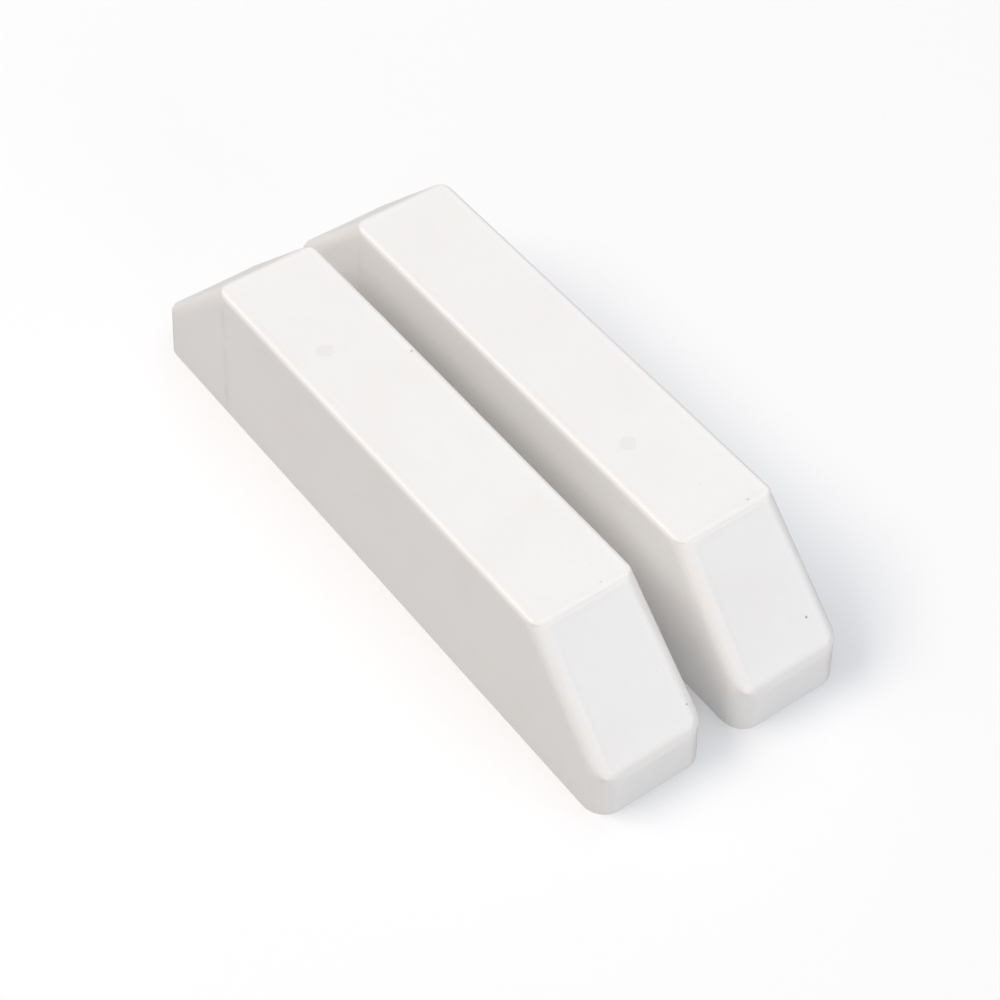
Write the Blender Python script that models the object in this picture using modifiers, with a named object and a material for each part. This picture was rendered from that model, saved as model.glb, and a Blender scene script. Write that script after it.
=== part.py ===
"""Covered surface-mount magnetic contact: a reed-switch unit and the bar-magnet unit that faces it.

Metres, +X along both units, +Y from the switch unit towards the magnet unit, +Z up off the surface
that they are screwed to. The origin is on that surface, midway between the two units.
"""

import math

import bmesh
import bpy
from mathutils import Matrix, Vector

# Cover: one moulding, used on both units
COVER_LENGTH = 0.0640
COVER_WIDTH = 0.0112
COVER_HEIGHT = 0.0140
END_HEIGHT = 0.0044
SLOPE_RUN = 0.0095
SIDE_DRAFT = 0.00058
END_DRAFT = 0.00028
COVER_WALL = 0.0012
CORNER_RADIUS = 0.0020
TOP_EDGE_RADIUS = 0.0009
UNIT_GAP = 0.0028

# Running, resting and soldered clearances
CLEARANCE = 0.0003
THREAD_CLEARANCE = 0.00015
WIRE_CLEARANCE = 0.00015

# Bases
BASE_THICKNESS = 0.0020
BASE_CORNER_RADIUS = 0.0008
SLOT_INSET = 0.0057
SLOT_LENGTH = 0.0052
SLOT_WIDTH = 0.0034
CRUSH_RIB_RADIUS = 0.0005
CRUSH_RIB_STAND = 0.00015
CRUSH_RIB_INSET = 0.0070

# Terminals
TERMINAL_INSET = 0.0055
BOSS_LENGTH = 0.0072
BOSS_WALL = 0.0006
BOSS_ROOM = 0.00055
HEAD_ROOM = 0.0020
NUT_THICKNESS = 0.0024
PLATE_MARGIN = 0.0003
PLATE_THICKNESS = 0.0006
TAB_WIDTH = 0.0032
TAB_BELOW_WIRE = 0.0011
WASHER_MARGIN = 0.0003
WASHER_THICKNESS = 0.0008
SCREW_RADIUS = 0.00145
SCREW_LENGTH = 0.0058
HEAD_RADIUS = 0.00270
HEAD_HEIGHT = 0.0019
RECESS_LENGTH = 0.0030
RECESS_WIDTH = 0.0007
RECESS_DEPTH = 0.0011

# Reed switch
GLASS_LENGTH = 0.0140
GLASS_RADIUS = 0.00115
GLASS_WALL = 0.0003
SEAL_LENGTH = 0.0010
LEAD_RADIUS = 0.00025
BLADE_WIDTH = 0.0011
BLADE_THICKNESS = 0.00025
BLADE_OVERLAP = 0.0016
CONTACT_GAP = 0.00015
SLEEVE_WALL = 0.00045
SLEEVE_LENGTH = 0.0024
SLEEVE_PLACE = 0.0048
SLEEVE_FIT = 0.0002
TROUGH_WALL = 0.0008
TROUGH_OVERHANG = 0.0015
SOLDER_RADIUS = 0.0009
SOLDER_LENGTH = 0.0007

# Magnet
MAGNET_LENGTH = 0.0320
CRADLE_ROOM = 0.00055
MAGNET_HEIGHT = 0.0060
MAGNET_EDGE = 0.0004
CRADLE_WALL = 0.0008
CRADLE_HEIGHT = 0.0036
CATCH_WIDTH = 0.0040
CATCH_LENGTH = 0.0010
CATCH_REACH = 0.0008

ROUND_STEPS = 24
FINE_STEPS = 16
BEVEL_SEGMENTS = 3
CUT_MARGIN = 0.0010
MERGE = 0.000001


def half_width_at(height, inset):
    """Half the cover's width at a height, for a surface set in from the outside."""
    return COVER_WIDTH / 2 - inset - SIDE_DRAFT * height / COVER_HEIGHT


def half_length_at(height, inset):
    """Half the cover's length at a height below the slopes, for a surface set in from the outside."""
    return COVER_LENGTH / 2 - inset - END_DRAFT * height / COVER_HEIGHT


# Places and sizes that follow from those above
UNIT_OFFSET = (COVER_WIDTH + UNIT_GAP) / 2
TERMINAL_PLACE = COVER_LENGTH / 2 - SLOPE_RUN - TERMINAL_INSET
HEAD_BOTTOM = COVER_HEIGHT - COVER_WALL - HEAD_ROOM - HEAD_HEIGHT
WASHER_TOP = HEAD_BOTTOM - CLEARANCE
WASHER_BOTTOM = WASHER_TOP - WASHER_THICKNESS
PLATE_TOP = WASHER_BOTTOM - CLEARANCE
PLATE_BOTTOM = PLATE_TOP - PLATE_THICKNESS
BOSS_TOP = PLATE_BOTTOM - CLEARANCE
BOSS_WIDTH = 2 * (half_width_at(BOSS_TOP, COVER_WALL) - BOSS_ROOM)
NUT_TOP = BOSS_TOP - CLEARANCE
NUT_BOTTOM = NUT_TOP - NUT_THICKNESS
POCKET_HALF_LENGTH = BOSS_LENGTH / 2 - BOSS_WALL
POCKET_HALF_WIDTH = BOSS_WIDTH / 2 - BOSS_WALL
NUT_HALF_LENGTH = POCKET_HALF_LENGTH - CLEARANCE
NUT_HALF_WIDTH = POCKET_HALF_WIDTH - CLEARANCE
PLATE_HALF_LENGTH = BOSS_LENGTH / 2 - PLATE_MARGIN
PLATE_HALF_WIDTH = BOSS_WIDTH / 2 - PLATE_MARGIN
WASHER_HALF_LENGTH = PLATE_HALF_LENGTH - WASHER_MARGIN
WASHER_HALF_WIDTH = PLATE_HALF_WIDTH - WASHER_MARGIN
SLEEVE_RADIUS = GLASS_RADIUS + SLEEVE_FIT + SLEEVE_WALL
REED_HEIGHT = BASE_THICKNESS + CLEARANCE + SLEEVE_RADIUS
BLADE_ROOT = GLASS_LENGTH / 2 - SEAL_LENGTH - 4 * GLASS_WALL
TAB_OUTER = TERMINAL_PLACE - BOSS_LENGTH / 2 - CLEARANCE
TAB_INNER = TAB_OUTER - PLATE_THICKNESS
MAGNET_BOTTOM = BASE_THICKNESS + CLEARANCE
MAGNET_TOP = MAGNET_BOTTOM + MAGNET_HEIGHT
CRADLE_TOP = BASE_THICKNESS + CRADLE_HEIGHT
CRADLE_INNER = half_width_at(CRADLE_TOP, COVER_WALL) - CRADLE_ROOM - CRADLE_WALL
MAGNET_WIDTH = 2 * (CRADLE_INNER - CLEARANCE)

for old_object in list(bpy.data.objects):
    bpy.data.objects.remove(old_object, do_unlink=True)

PARTS = bpy.data.collections.new("magnetic_contact")
CUTTERS = bpy.data.collections.new("cutters")
bpy.context.scene.collection.children.link(PARTS)
bpy.context.scene.collection.children.link(CUTTERS)


def make_material(name, colour, roughness, metallic=0.0):
    """A Principled material of one colour."""
    material = bpy.data.materials.new(name)
    material.use_nodes = True
    shader = material.node_tree.nodes["Principled BSDF"]
    shader.inputs["Base Color"].default_value = (*colour, 1.0)
    shader.inputs["Roughness"].default_value = roughness
    shader.inputs["Metallic"].default_value = metallic
    return material


WHITE_PLASTIC = make_material("white_plastic", (0.86, 0.85, 0.84), 0.22)
BASE_PLASTIC = make_material("base_plastic", (0.80, 0.79, 0.76), 0.40)
BRASS = make_material("brass", (0.78, 0.60, 0.27), 0.30, 1.0)
STEEL = make_material("plated_steel", (0.66, 0.66, 0.68), 0.28, 1.0)
REED_ALLOY = make_material("reed_alloy", (0.72, 0.70, 0.66), 0.25, 1.0)
GLASS = make_material("reed_glass", (0.62, 0.76, 0.66), 0.05)
SLEEVE_RUBBER = make_material("sleeve_rubber", (0.50, 0.12, 0.07), 0.60)
SOLDER = make_material("solder", (0.70, 0.70, 0.71), 0.35, 1.0)
MAGNET = make_material("magnet", (0.16, 0.15, 0.15), 0.45, 1.0)


def make_empty(name, location, parent=None):
    """A body's own frame, which its pieces hang from."""
    empty = bpy.data.objects.new(name, None)
    empty.empty_display_size = 0.005
    empty.location = location
    empty.parent = parent
    PARTS.objects.link(empty)
    return empty


def add_object(name, bm, place, parent, material=None, smooth=False):
    """Turns a bmesh into a part, or into a hidden tool where it has no material."""
    mesh = bpy.data.meshes.new(name)
    bmesh.ops.recalc_face_normals(bm, faces=bm.faces)
    bm.to_mesh(mesh)
    bm.free()
    item = bpy.data.objects.new(name, mesh)
    item.location = place
    item.parent = parent
    if material is None:
        CUTTERS.objects.link(item)
        item.hide_render = True
        item.display_type = "WIRE"
        return item
    PARTS.objects.link(item)
    mesh.materials.append(material)
    if smooth:
        mesh.shade_smooth()
        mesh.set_sharp_from_angle(angle=math.radians(35))
    return item


def combine(target, tool, operation):
    """Joins a hidden tool to a part, or cuts it from it."""
    modifier = target.modifiers.new(tool.name, "BOOLEAN")
    modifier.operation = operation
    modifier.solver = "EXACT"
    modifier.object = tool


def box_mesh(low, high, edge=0.0):
    """A box between two corners, with its edges rounded where an edge radius is given."""
    bm = bmesh.new()
    bmesh.ops.create_cube(bm, size=1.0)
    size = Vector(high) - Vector(low)
    middle = (Vector(high) + Vector(low)) / 2
    bmesh.ops.scale(bm, vec=size, verts=bm.verts)
    bmesh.ops.translate(bm, vec=middle, verts=bm.verts)
    if edge > 0:
        bmesh.ops.bevel(
            bm, geom=bm.edges[:], offset=edge, segments=2, profile=0.5, affect="EDGES", material=-1
        )
    return bm


def cylinder_mesh(radius, low, high, steps=ROUND_STEPS, top_radius=None):
    """A cylinder, or a cone, standing on its axis from one height to another."""
    bm = bmesh.new()
    bmesh.ops.create_cone(
        bm,
        cap_ends=True,
        segments=steps,
        radius1=radius,
        radius2=radius if top_radius is None else top_radius,
        depth=high - low,
    )
    bmesh.ops.translate(bm, vec=(0, 0, (low + high) / 2), verts=bm.verts)
    return bm


def slot_mesh(length, width, low, high):
    """A cylinder drawn out along X into a slot with round ends."""
    bm = cylinder_mesh(width / 2, low, high)
    half_step = Matrix.Rotation(math.pi / ROUND_STEPS, 3, "Z")
    bmesh.ops.rotate(bm, cent=(0, 0, 0), matrix=half_step, verts=bm.verts)
    stretch = (length - width) / 2
    for vert in bm.verts:
        vert.co.x += math.copysign(stretch, vert.co.x)
    return bm


def lay_along_x(bm):
    """Turns a shape that stands on Z so that its top points along +X."""
    quarter_turn = Matrix.Rotation(math.pi / 2, 3, "Y")
    bmesh.ops.rotate(bm, cent=(0, 0, 0), matrix=quarter_turn, verts=bm.verts)


def turned_along_x(name, outline, place, parent, material):
    """A turned ring whose closed outline of (radius, distance) points is spun about X."""
    bm = bmesh.new()
    points = [bm.verts.new((radius, 0, distance)) for radius, distance in outline]
    for here, following in zip(points, points[1:] + points[:1]):
        bm.edges.new((here, following))
    item = add_object(name, bm, place, parent, material, smooth=True)
    spin = item.modifiers.new("turn", "SCREW")
    spin.axis = "Z"
    spin.steps = FINE_STEPS
    spin.render_steps = FINE_STEPS
    spin.use_merge_vertices = True
    spin.merge_threshold = MERGE
    item.rotation_euler = (0, math.pi / 2, 0)
    return item


def cover_form(inset, low):
    """The cover's sloped and drafted block, set in from its outer surface."""
    high = COVER_HEIGHT - inset
    bm = bmesh.new()
    bmesh.ops.create_cube(bm, size=2.0)
    for vert in bm.verts:
        height = high if vert.co.z > 0 else low
        vert.co.x *= half_length_at(height, inset)
        vert.co.y *= half_width_at(height, inset)
        vert.co.z = height
    crest = Vector((COVER_LENGTH / 2 - SLOPE_RUN, 0, COVER_HEIGHT))
    foot = Vector((half_length_at(END_HEIGHT, 0), 0, END_HEIGHT))
    fall = foot - crest
    for side in (-1, 1):
        normal = Vector((-fall.z * side, 0, fall.x)).normalized()
        point = Vector((crest.x * side, 0, crest.z)) - normal * inset
        cut = bmesh.ops.bisect_plane(
            bm,
            geom=bm.verts[:] + bm.edges[:] + bm.faces[:],
            plane_co=point,
            plane_no=normal,
            clear_outer=True,
        )
        rim = [edge for edge in cut["geom_cut"] if isinstance(edge, bmesh.types.BMEdge)]
        bmesh.ops.holes_fill(bm, edges=rim)
    corner = max(CORNER_RADIUS - inset, COVER_WALL / 4)
    top_edge = max(TOP_EDGE_RADIUS - inset, COVER_WALL / 6)
    weights = bm.edges.layers.float.new("bevel_weight_edge")
    for edge in bm.edges:
        first, second = (vert.co for vert in edge.verts)
        at_foot = max(first.z, second.z) < low + MERGE
        along_top = min(first.z, second.z) > high - MERGE and abs(first.x - second.x) > SLOPE_RUN
        edge[weights] = 0.0 if at_foot else top_edge / corner if along_top else 1.0
    return bm, corner


def round_weighted_edges(item, width):
    """Rounds the edges that carry a bevel weight."""
    bevel = item.modifiers.new("rounding", "BEVEL")
    bevel.limit_method = "WEIGHT"
    bevel.width = width
    bevel.segments = BEVEL_SEGMENTS


def make_cover(name, parent):
    """A clip-on cover: the sloped block, hollowed from below."""
    bm, corner = cover_form(0.0, 0.0)
    cover = add_object(name, bm, (0, 0, 0), parent, WHITE_PLASTIC, smooth=True)
    round_weighted_edges(cover, corner)
    bm, corner = cover_form(COVER_WALL, -CUT_MARGIN)
    hollow = add_object(name + "_hollow", bm, (0, 0, 0), parent)
    round_weighted_edges(hollow, corner)
    combine(cover, hollow, "DIFFERENCE")
    return cover


def make_base_plate(name, parent):
    """A base plate that fills the cover's mouth, with crush ribs and a fixing slot near each end."""
    half_length = half_length_at(BASE_THICKNESS, COVER_WALL + CLEARANCE)
    half_width = half_width_at(BASE_THICKNESS, COVER_WALL + CLEARANCE)
    bm = box_mesh((-half_length, -half_width, 0), (half_length, half_width, BASE_THICKNESS))
    corners = [edge for edge in bm.edges if abs(edge.verts[0].co.z - edge.verts[1].co.z) > MERGE]
    bmesh.ops.bevel(
        bm,
        geom=corners,
        offset=BASE_CORNER_RADIUS,
        segments=BEVEL_SEGMENTS,
        profile=0.5,
        affect="EDGES",
        material=-1,
    )
    plate = add_object(name, bm, (0, 0, 0), parent, BASE_PLASTIC)
    rib_row = half_width + CRUSH_RIB_STAND - CRUSH_RIB_RADIUS
    rib_reach = half_length - CRUSH_RIB_INSET
    for along in (-rib_reach, 0, rib_reach):
        for side in (-1, 1):
            rib = cylinder_mesh(CRUSH_RIB_RADIUS, CLEARANCE, BASE_THICKNESS - CLEARANCE, FINE_STEPS)
            tool = add_object(name + "_rib", rib, (along, side * rib_row, 0), parent)
            combine(plate, tool, "UNION")
    return plate


def cut_fixing_slots(plate, parent):
    """The two slots that take the fixing screws."""
    for side in (-1, 1):
        bm = slot_mesh(SLOT_LENGTH, SLOT_WIDTH, -CUT_MARGIN, BASE_THICKNESS + CUT_MARGIN)
        place = (side * (COVER_LENGTH / 2 - SLOT_INSET), 0, 0)
        combine(plate, add_object(plate.name + "_slot", bm, place, parent), "DIFFERENCE")


def make_switch_base(parent):
    """The switch unit's base: terminal bosses with nut pockets, and a trough for the reed."""
    base = make_base_plate("switch_base", parent)
    bury = BASE_THICKNESS / 2
    for side in (-1, 1):
        boss = box_mesh(
            (-BOSS_LENGTH / 2, -BOSS_WIDTH / 2, bury), (BOSS_LENGTH / 2, BOSS_WIDTH / 2, BOSS_TOP)
        )
        place = (side * TERMINAL_PLACE, 0, 0)
        combine(base, add_object("boss", boss, place, parent), "UNION")
        wall_inner = SLEEVE_RADIUS + CLEARANCE
        reach = SLEEVE_PLACE + SLEEVE_LENGTH / 2 + TROUGH_OVERHANG
        wall = box_mesh(
            (-reach, wall_inner * side, bury),
            (reach, (wall_inner + TROUGH_WALL) * side, REED_HEIGHT + GLASS_RADIUS / 2),
        )
        combine(base, add_object("trough_wall", wall, (0, 0, 0), parent), "UNION")
    for side in (-1, 1):
        pocket = box_mesh(
            (-POCKET_HALF_LENGTH, -POCKET_HALF_WIDTH, NUT_BOTTOM - CLEARANCE),
            (POCKET_HALF_LENGTH, POCKET_HALF_WIDTH, BOSS_TOP + CUT_MARGIN),
        )
        place = (side * TERMINAL_PLACE, 0, 0)
        combine(base, add_object("nut_pocket", pocket, place, parent), "DIFFERENCE")
        bore = cylinder_mesh(
            SCREW_RADIUS + CLEARANCE, HEAD_BOTTOM - SCREW_LENGTH - CLEARANCE, BOSS_TOP - CLEARANCE
        )
        combine(base, add_object("screw_bore", bore, place, parent), "DIFFERENCE")
    cut_fixing_slots(base, parent)
    return base


def make_terminal(number, side, parent):
    """A trapped nut, a brass plate with its solder tab, a clamp washer and its screw."""
    place = Vector((side * TERMINAL_PLACE, 0, 0))
    block = box_mesh(
        (-NUT_HALF_LENGTH, -NUT_HALF_WIDTH, NUT_BOTTOM), (NUT_HALF_LENGTH, NUT_HALF_WIDTH, NUT_TOP)
    )
    nut = add_object(f"terminal_nut_{number}", block, place, parent, BRASS)
    bore = cylinder_mesh(SCREW_RADIUS + THREAD_CLEARANCE, NUT_BOTTOM - CUT_MARGIN, NUT_TOP + CUT_MARGIN)
    combine(nut, add_object(nut.name + "_bore", bore, place, parent), "DIFFERENCE")

    far = (TERMINAL_PLACE + PLATE_HALF_LENGTH) * side
    flat = box_mesh(
        (TAB_INNER * side, -PLATE_HALF_WIDTH, PLATE_BOTTOM), (far, PLATE_HALF_WIDTH, PLATE_TOP)
    )
    plate = add_object(f"terminal_plate_{number}", flat, (0, 0, 0), parent, BRASS)
    tab = box_mesh(
        (TAB_INNER * side, -TAB_WIDTH / 2, REED_HEIGHT - TAB_BELOW_WIRE),
        (TAB_OUTER * side, TAB_WIDTH / 2, PLATE_TOP - PLATE_THICKNESS / 2),
    )
    combine(plate, add_object(plate.name + "_tab", tab, (0, 0, 0), parent), "UNION")
    bore = cylinder_mesh(SCREW_RADIUS + CLEARANCE, PLATE_BOTTOM - CUT_MARGIN, PLATE_TOP + CUT_MARGIN)
    combine(plate, add_object(plate.name + "_bore", bore, place, parent), "DIFFERENCE")
    eye_radius = LEAD_RADIUS + WIRE_CLEARANCE
    eye = cylinder_mesh(eye_radius, TAB_INNER - CUT_MARGIN, TAB_OUTER + CUT_MARGIN, FINE_STEPS)
    lay_along_x(eye)
    bmesh.ops.scale(eye, vec=(side, 1, 1), verts=eye.verts)
    combine(plate, add_object(plate.name + "_eye", eye, (0, 0, REED_HEIGHT), parent), "DIFFERENCE")

    clamp = make_empty(f"clamp_{number}", place, parent)
    square = box_mesh(
        (-WASHER_HALF_LENGTH, -WASHER_HALF_WIDTH, WASHER_BOTTOM),
        (WASHER_HALF_LENGTH, WASHER_HALF_WIDTH, WASHER_TOP),
    )
    washer = add_object(f"clamp_washer_{number}", square, (0, 0, 0), clamp, STEEL)
    bore = cylinder_mesh(SCREW_RADIUS + CLEARANCE, WASHER_BOTTOM - CUT_MARGIN, WASHER_TOP + CUT_MARGIN)
    combine(washer, add_object(washer.name + "_bore", bore, (0, 0, 0), clamp), "DIFFERENCE")
    make_screw(number, clamp)


def make_screw(number, clamp):
    """A cheese-head terminal screw with a cross recess, standing on its own axis."""
    head = cylinder_mesh(HEAD_RADIUS, HEAD_BOTTOM, HEAD_BOTTOM + HEAD_HEIGHT)
    rim = [edge for edge in head.edges if min(vert.co.z for vert in edge.verts) > HEAD_BOTTOM + MERGE]
    bmesh.ops.bevel(
        head, geom=rim, offset=HEAD_HEIGHT / 5, segments=2, profile=0.5, affect="EDGES", material=-1
    )
    screw = add_object(f"terminal_screw_{number}", head, (0, 0, 0), clamp, STEEL, smooth=True)
    shank = cylinder_mesh(SCREW_RADIUS, HEAD_BOTTOM - SCREW_LENGTH, HEAD_BOTTOM + HEAD_HEIGHT / 4)
    combine(screw, add_object(screw.name + "_shank", shank, (0, 0, 0), clamp), "UNION")
    low = HEAD_BOTTOM + HEAD_HEIGHT - RECESS_DEPTH
    high = HEAD_BOTTOM + HEAD_HEIGHT + CUT_MARGIN
    for half_x, half_y in ((RECESS_LENGTH / 2, RECESS_WIDTH / 2), (RECESS_WIDTH / 2, RECESS_LENGTH / 2)):
        arm = box_mesh((-half_x, -half_y, low), (half_x, half_y, high))
        combine(screw, add_object(screw.name + "_recess", arm, (0, 0, 0), clamp), "DIFFERENCE")


def make_lead(name, side, parent, blade_end=None):
    """A round lead from its solder tab into the glass, with the fixed blade on its end if asked."""
    wire = cylinder_mesh(LEAD_RADIUS, BLADE_ROOT + CLEARANCE, TAB_OUTER, FINE_STEPS)
    lay_along_x(wire)
    bmesh.ops.scale(wire, vec=(side, 1, 1), verts=wire.verts)
    lead = add_object(name, wire, (0, 0, REED_HEIGHT), parent, REED_ALLOY, smooth=True)
    if blade_end is not None:
        offset = -(CONTACT_GAP + BLADE_THICKNESS) / 2
        blade = blade_mesh(blade_end, side * (BLADE_ROOT + 2 * CLEARANCE), offset)
        tool = add_object(name + "_blade", blade, (0, 0, REED_HEIGHT), parent)
        combine(lead, tool, "UNION")


def blade_mesh(start, end, middle):
    """A flat contact blade between two places along X."""
    half_width = BLADE_WIDTH / 2
    half_thickness = BLADE_THICKNESS / 2
    low = (start, -half_width, middle - half_thickness)
    return box_mesh(low, (end, half_width, middle + half_thickness))


def make_reed_switch(parent):
    """The glass, its fixed and moving reeds, its two sleeves and the solder at its two tabs."""
    outer = GLASS_RADIUS
    inner = GLASS_RADIUS - GLASS_WALL
    throat = LEAD_RADIUS + WIRE_CLEARANCE
    end = GLASS_LENGTH / 2
    shoulder = GLASS_WALL
    seal = end - SEAL_LENGTH
    turned_along_x(
        "reed_glass",
        [
            (throat, end),
            (outer - shoulder, end),
            (outer, end - shoulder),
            (outer, -end + shoulder),
            (outer - shoulder, -end),
            (throat, -end),
            (throat, -seal),
            (inner, -seal + 2 * shoulder),
            (inner, seal - 2 * shoulder),
            (throat, seal),
        ],
        (0, 0, REED_HEIGHT),
        parent,
        GLASS,
    )
    tip = BLADE_OVERLAP / 2
    make_lead("reed_lead_fixed", 1, parent, blade_end=-tip)
    make_lead("reed_lead_moving", -1, parent)
    pivot = make_empty("reed_flexure", (-BLADE_ROOT, 0, REED_HEIGHT), parent)
    length = BLADE_ROOT + tip
    offset = (CONTACT_GAP + BLADE_THICKNESS) / 2
    add_object("reed_blade_moving", blade_mesh(0, length, offset), (0, 0, 0), pivot, REED_ALLOY)
    for number, side in ((1, -1), (2, 1)):
        half = SLEEVE_LENGTH / 2
        bore = GLASS_RADIUS + SLEEVE_FIT
        turned_along_x(
            f"reed_sleeve_{number}",
            [(SLEEVE_RADIUS, half), (SLEEVE_RADIUS, -half), (bore, -half), (bore, half)],
            (side * SLEEVE_PLACE, 0, REED_HEIGHT),
            parent,
            SLEEVE_RUBBER,
        )
        foot = -side * (SOLDER_LENGTH / 2)
        wire_hole = LEAD_RADIUS + WIRE_CLEARANCE
        wide = (SOLDER_RADIUS, -foot)
        narrow = (wire_hole + WIRE_CLEARANCE, foot)
        outline = [wide, narrow, (wire_hole, foot), (wire_hole, -foot)]
        turned_along_x(
            f"solder_joint_{number}",
            outline if side > 0 else [narrow, wide, (wire_hole, -foot), (wire_hole, foot)],
            (side * (TAB_INNER - WIRE_CLEARANCE - SOLDER_LENGTH / 2), 0, REED_HEIGHT),
            parent,
            SOLDER,
        )


def make_magnet_base(parent):
    """The magnet unit's base: a cradle with a catch over each end of the magnet."""
    base = make_base_plate("magnet_base", parent)
    bury = BASE_THICKNESS / 2
    end = MAGNET_LENGTH / 2 + CLEARANCE
    for side in (-1, 1):
        wall = box_mesh(
            (-end, CRADLE_INNER * side, bury), (end, (CRADLE_INNER + CRADLE_WALL) * side, CRADLE_TOP)
        )
        combine(base, add_object("cradle_wall", wall, (0, 0, 0), parent), "UNION")
        catch_top = MAGNET_TOP + CLEARANCE + CATCH_LENGTH
        stem = box_mesh(
            (end * side, -CATCH_WIDTH / 2, bury), ((end + CATCH_LENGTH) * side, CATCH_WIDTH / 2, catch_top)
        )
        combine(base, add_object("catch_stem", stem, (0, 0, 0), parent), "UNION")
        hook = box_mesh(
            ((end - CATCH_REACH) * side, -CATCH_WIDTH / 2, MAGNET_TOP + CLEARANCE),
            ((end + CATCH_LENGTH / 2) * side, CATCH_WIDTH / 2, catch_top),
        )
        combine(base, add_object("catch_hook", hook, (0, 0, 0), parent), "UNION")
    cut_fixing_slots(base, parent)
    return base


def make_bar_magnet(parent):
    """A cast bar magnet with its edges eased."""
    half_length = MAGNET_LENGTH / 2
    half_width = MAGNET_WIDTH / 2
    bar = box_mesh(
        (-half_length, -half_width, MAGNET_BOTTOM), (half_length, half_width, MAGNET_TOP), MAGNET_EDGE
    )
    return add_object("bar_magnet", bar, (0, 0, 0), parent, MAGNET)


def build():
    """Both units, side by side."""
    switch_unit = make_empty("switch_unit", (0, -UNIT_OFFSET, 0))
    make_cover("switch_cover", switch_unit)
    make_switch_base(switch_unit)
    make_terminal(1, -1, switch_unit)
    make_terminal(2, 1, switch_unit)
    make_reed_switch(switch_unit)
    magnet_unit = make_empty("magnet_unit", (0, UNIT_OFFSET, 0))
    make_cover("magnet_cover", magnet_unit)
    make_magnet_base(magnet_unit)
    make_bar_magnet(magnet_unit)


build()
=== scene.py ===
"""Looks of a covered magnetic door contact: a reed-switch unit beside its bar-magnet unit.

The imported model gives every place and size. This script builds the moulded, turned and drawn pieces
again at full quality around it, dresses them, and lights them on a pale studio floor.
"""

import logging
import math
from dataclasses import dataclass, replace
from enum import Enum
from functools import cached_property
from typing import Callable, Iterable, Optional, Union

import bmesh
import bpy
from mathutils import Matrix, Vector, noise


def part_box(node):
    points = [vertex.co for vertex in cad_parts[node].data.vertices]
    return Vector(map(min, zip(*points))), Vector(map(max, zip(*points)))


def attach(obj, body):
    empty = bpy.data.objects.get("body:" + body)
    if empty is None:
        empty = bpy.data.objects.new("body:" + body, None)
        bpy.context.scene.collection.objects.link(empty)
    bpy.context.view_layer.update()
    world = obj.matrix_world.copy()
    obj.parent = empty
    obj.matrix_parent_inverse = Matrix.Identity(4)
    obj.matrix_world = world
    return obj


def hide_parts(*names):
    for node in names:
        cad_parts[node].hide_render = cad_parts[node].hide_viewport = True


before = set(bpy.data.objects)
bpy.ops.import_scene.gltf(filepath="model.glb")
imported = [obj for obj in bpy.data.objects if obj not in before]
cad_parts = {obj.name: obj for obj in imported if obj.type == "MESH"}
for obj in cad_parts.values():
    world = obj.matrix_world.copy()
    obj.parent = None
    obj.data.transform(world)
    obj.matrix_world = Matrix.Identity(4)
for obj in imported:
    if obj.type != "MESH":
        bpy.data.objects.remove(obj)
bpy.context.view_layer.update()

LOG = logging.getLogger("magnetic_contact")
MM = 0.001
TINY = 0.001 * MM
HAIR = 1e-7
SOFT_FACETS = 50.0

BMesh = bmesh.types.BMesh
Edge = bmesh.types.BMEdge
Material = bpy.types.Material
Node = bpy.types.Node
Object = bpy.types.Object
Socket = bpy.types.NodeSocket
Tree = bpy.types.NodeTree
Colour = tuple[float, float, float]
Point = tuple[float, float, float]
SocketValue = Union[float, Point, Socket]


class Side(Enum):
    """Which way along an axis something lies."""

    LOW = -1
    HIGH = 1


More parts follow.
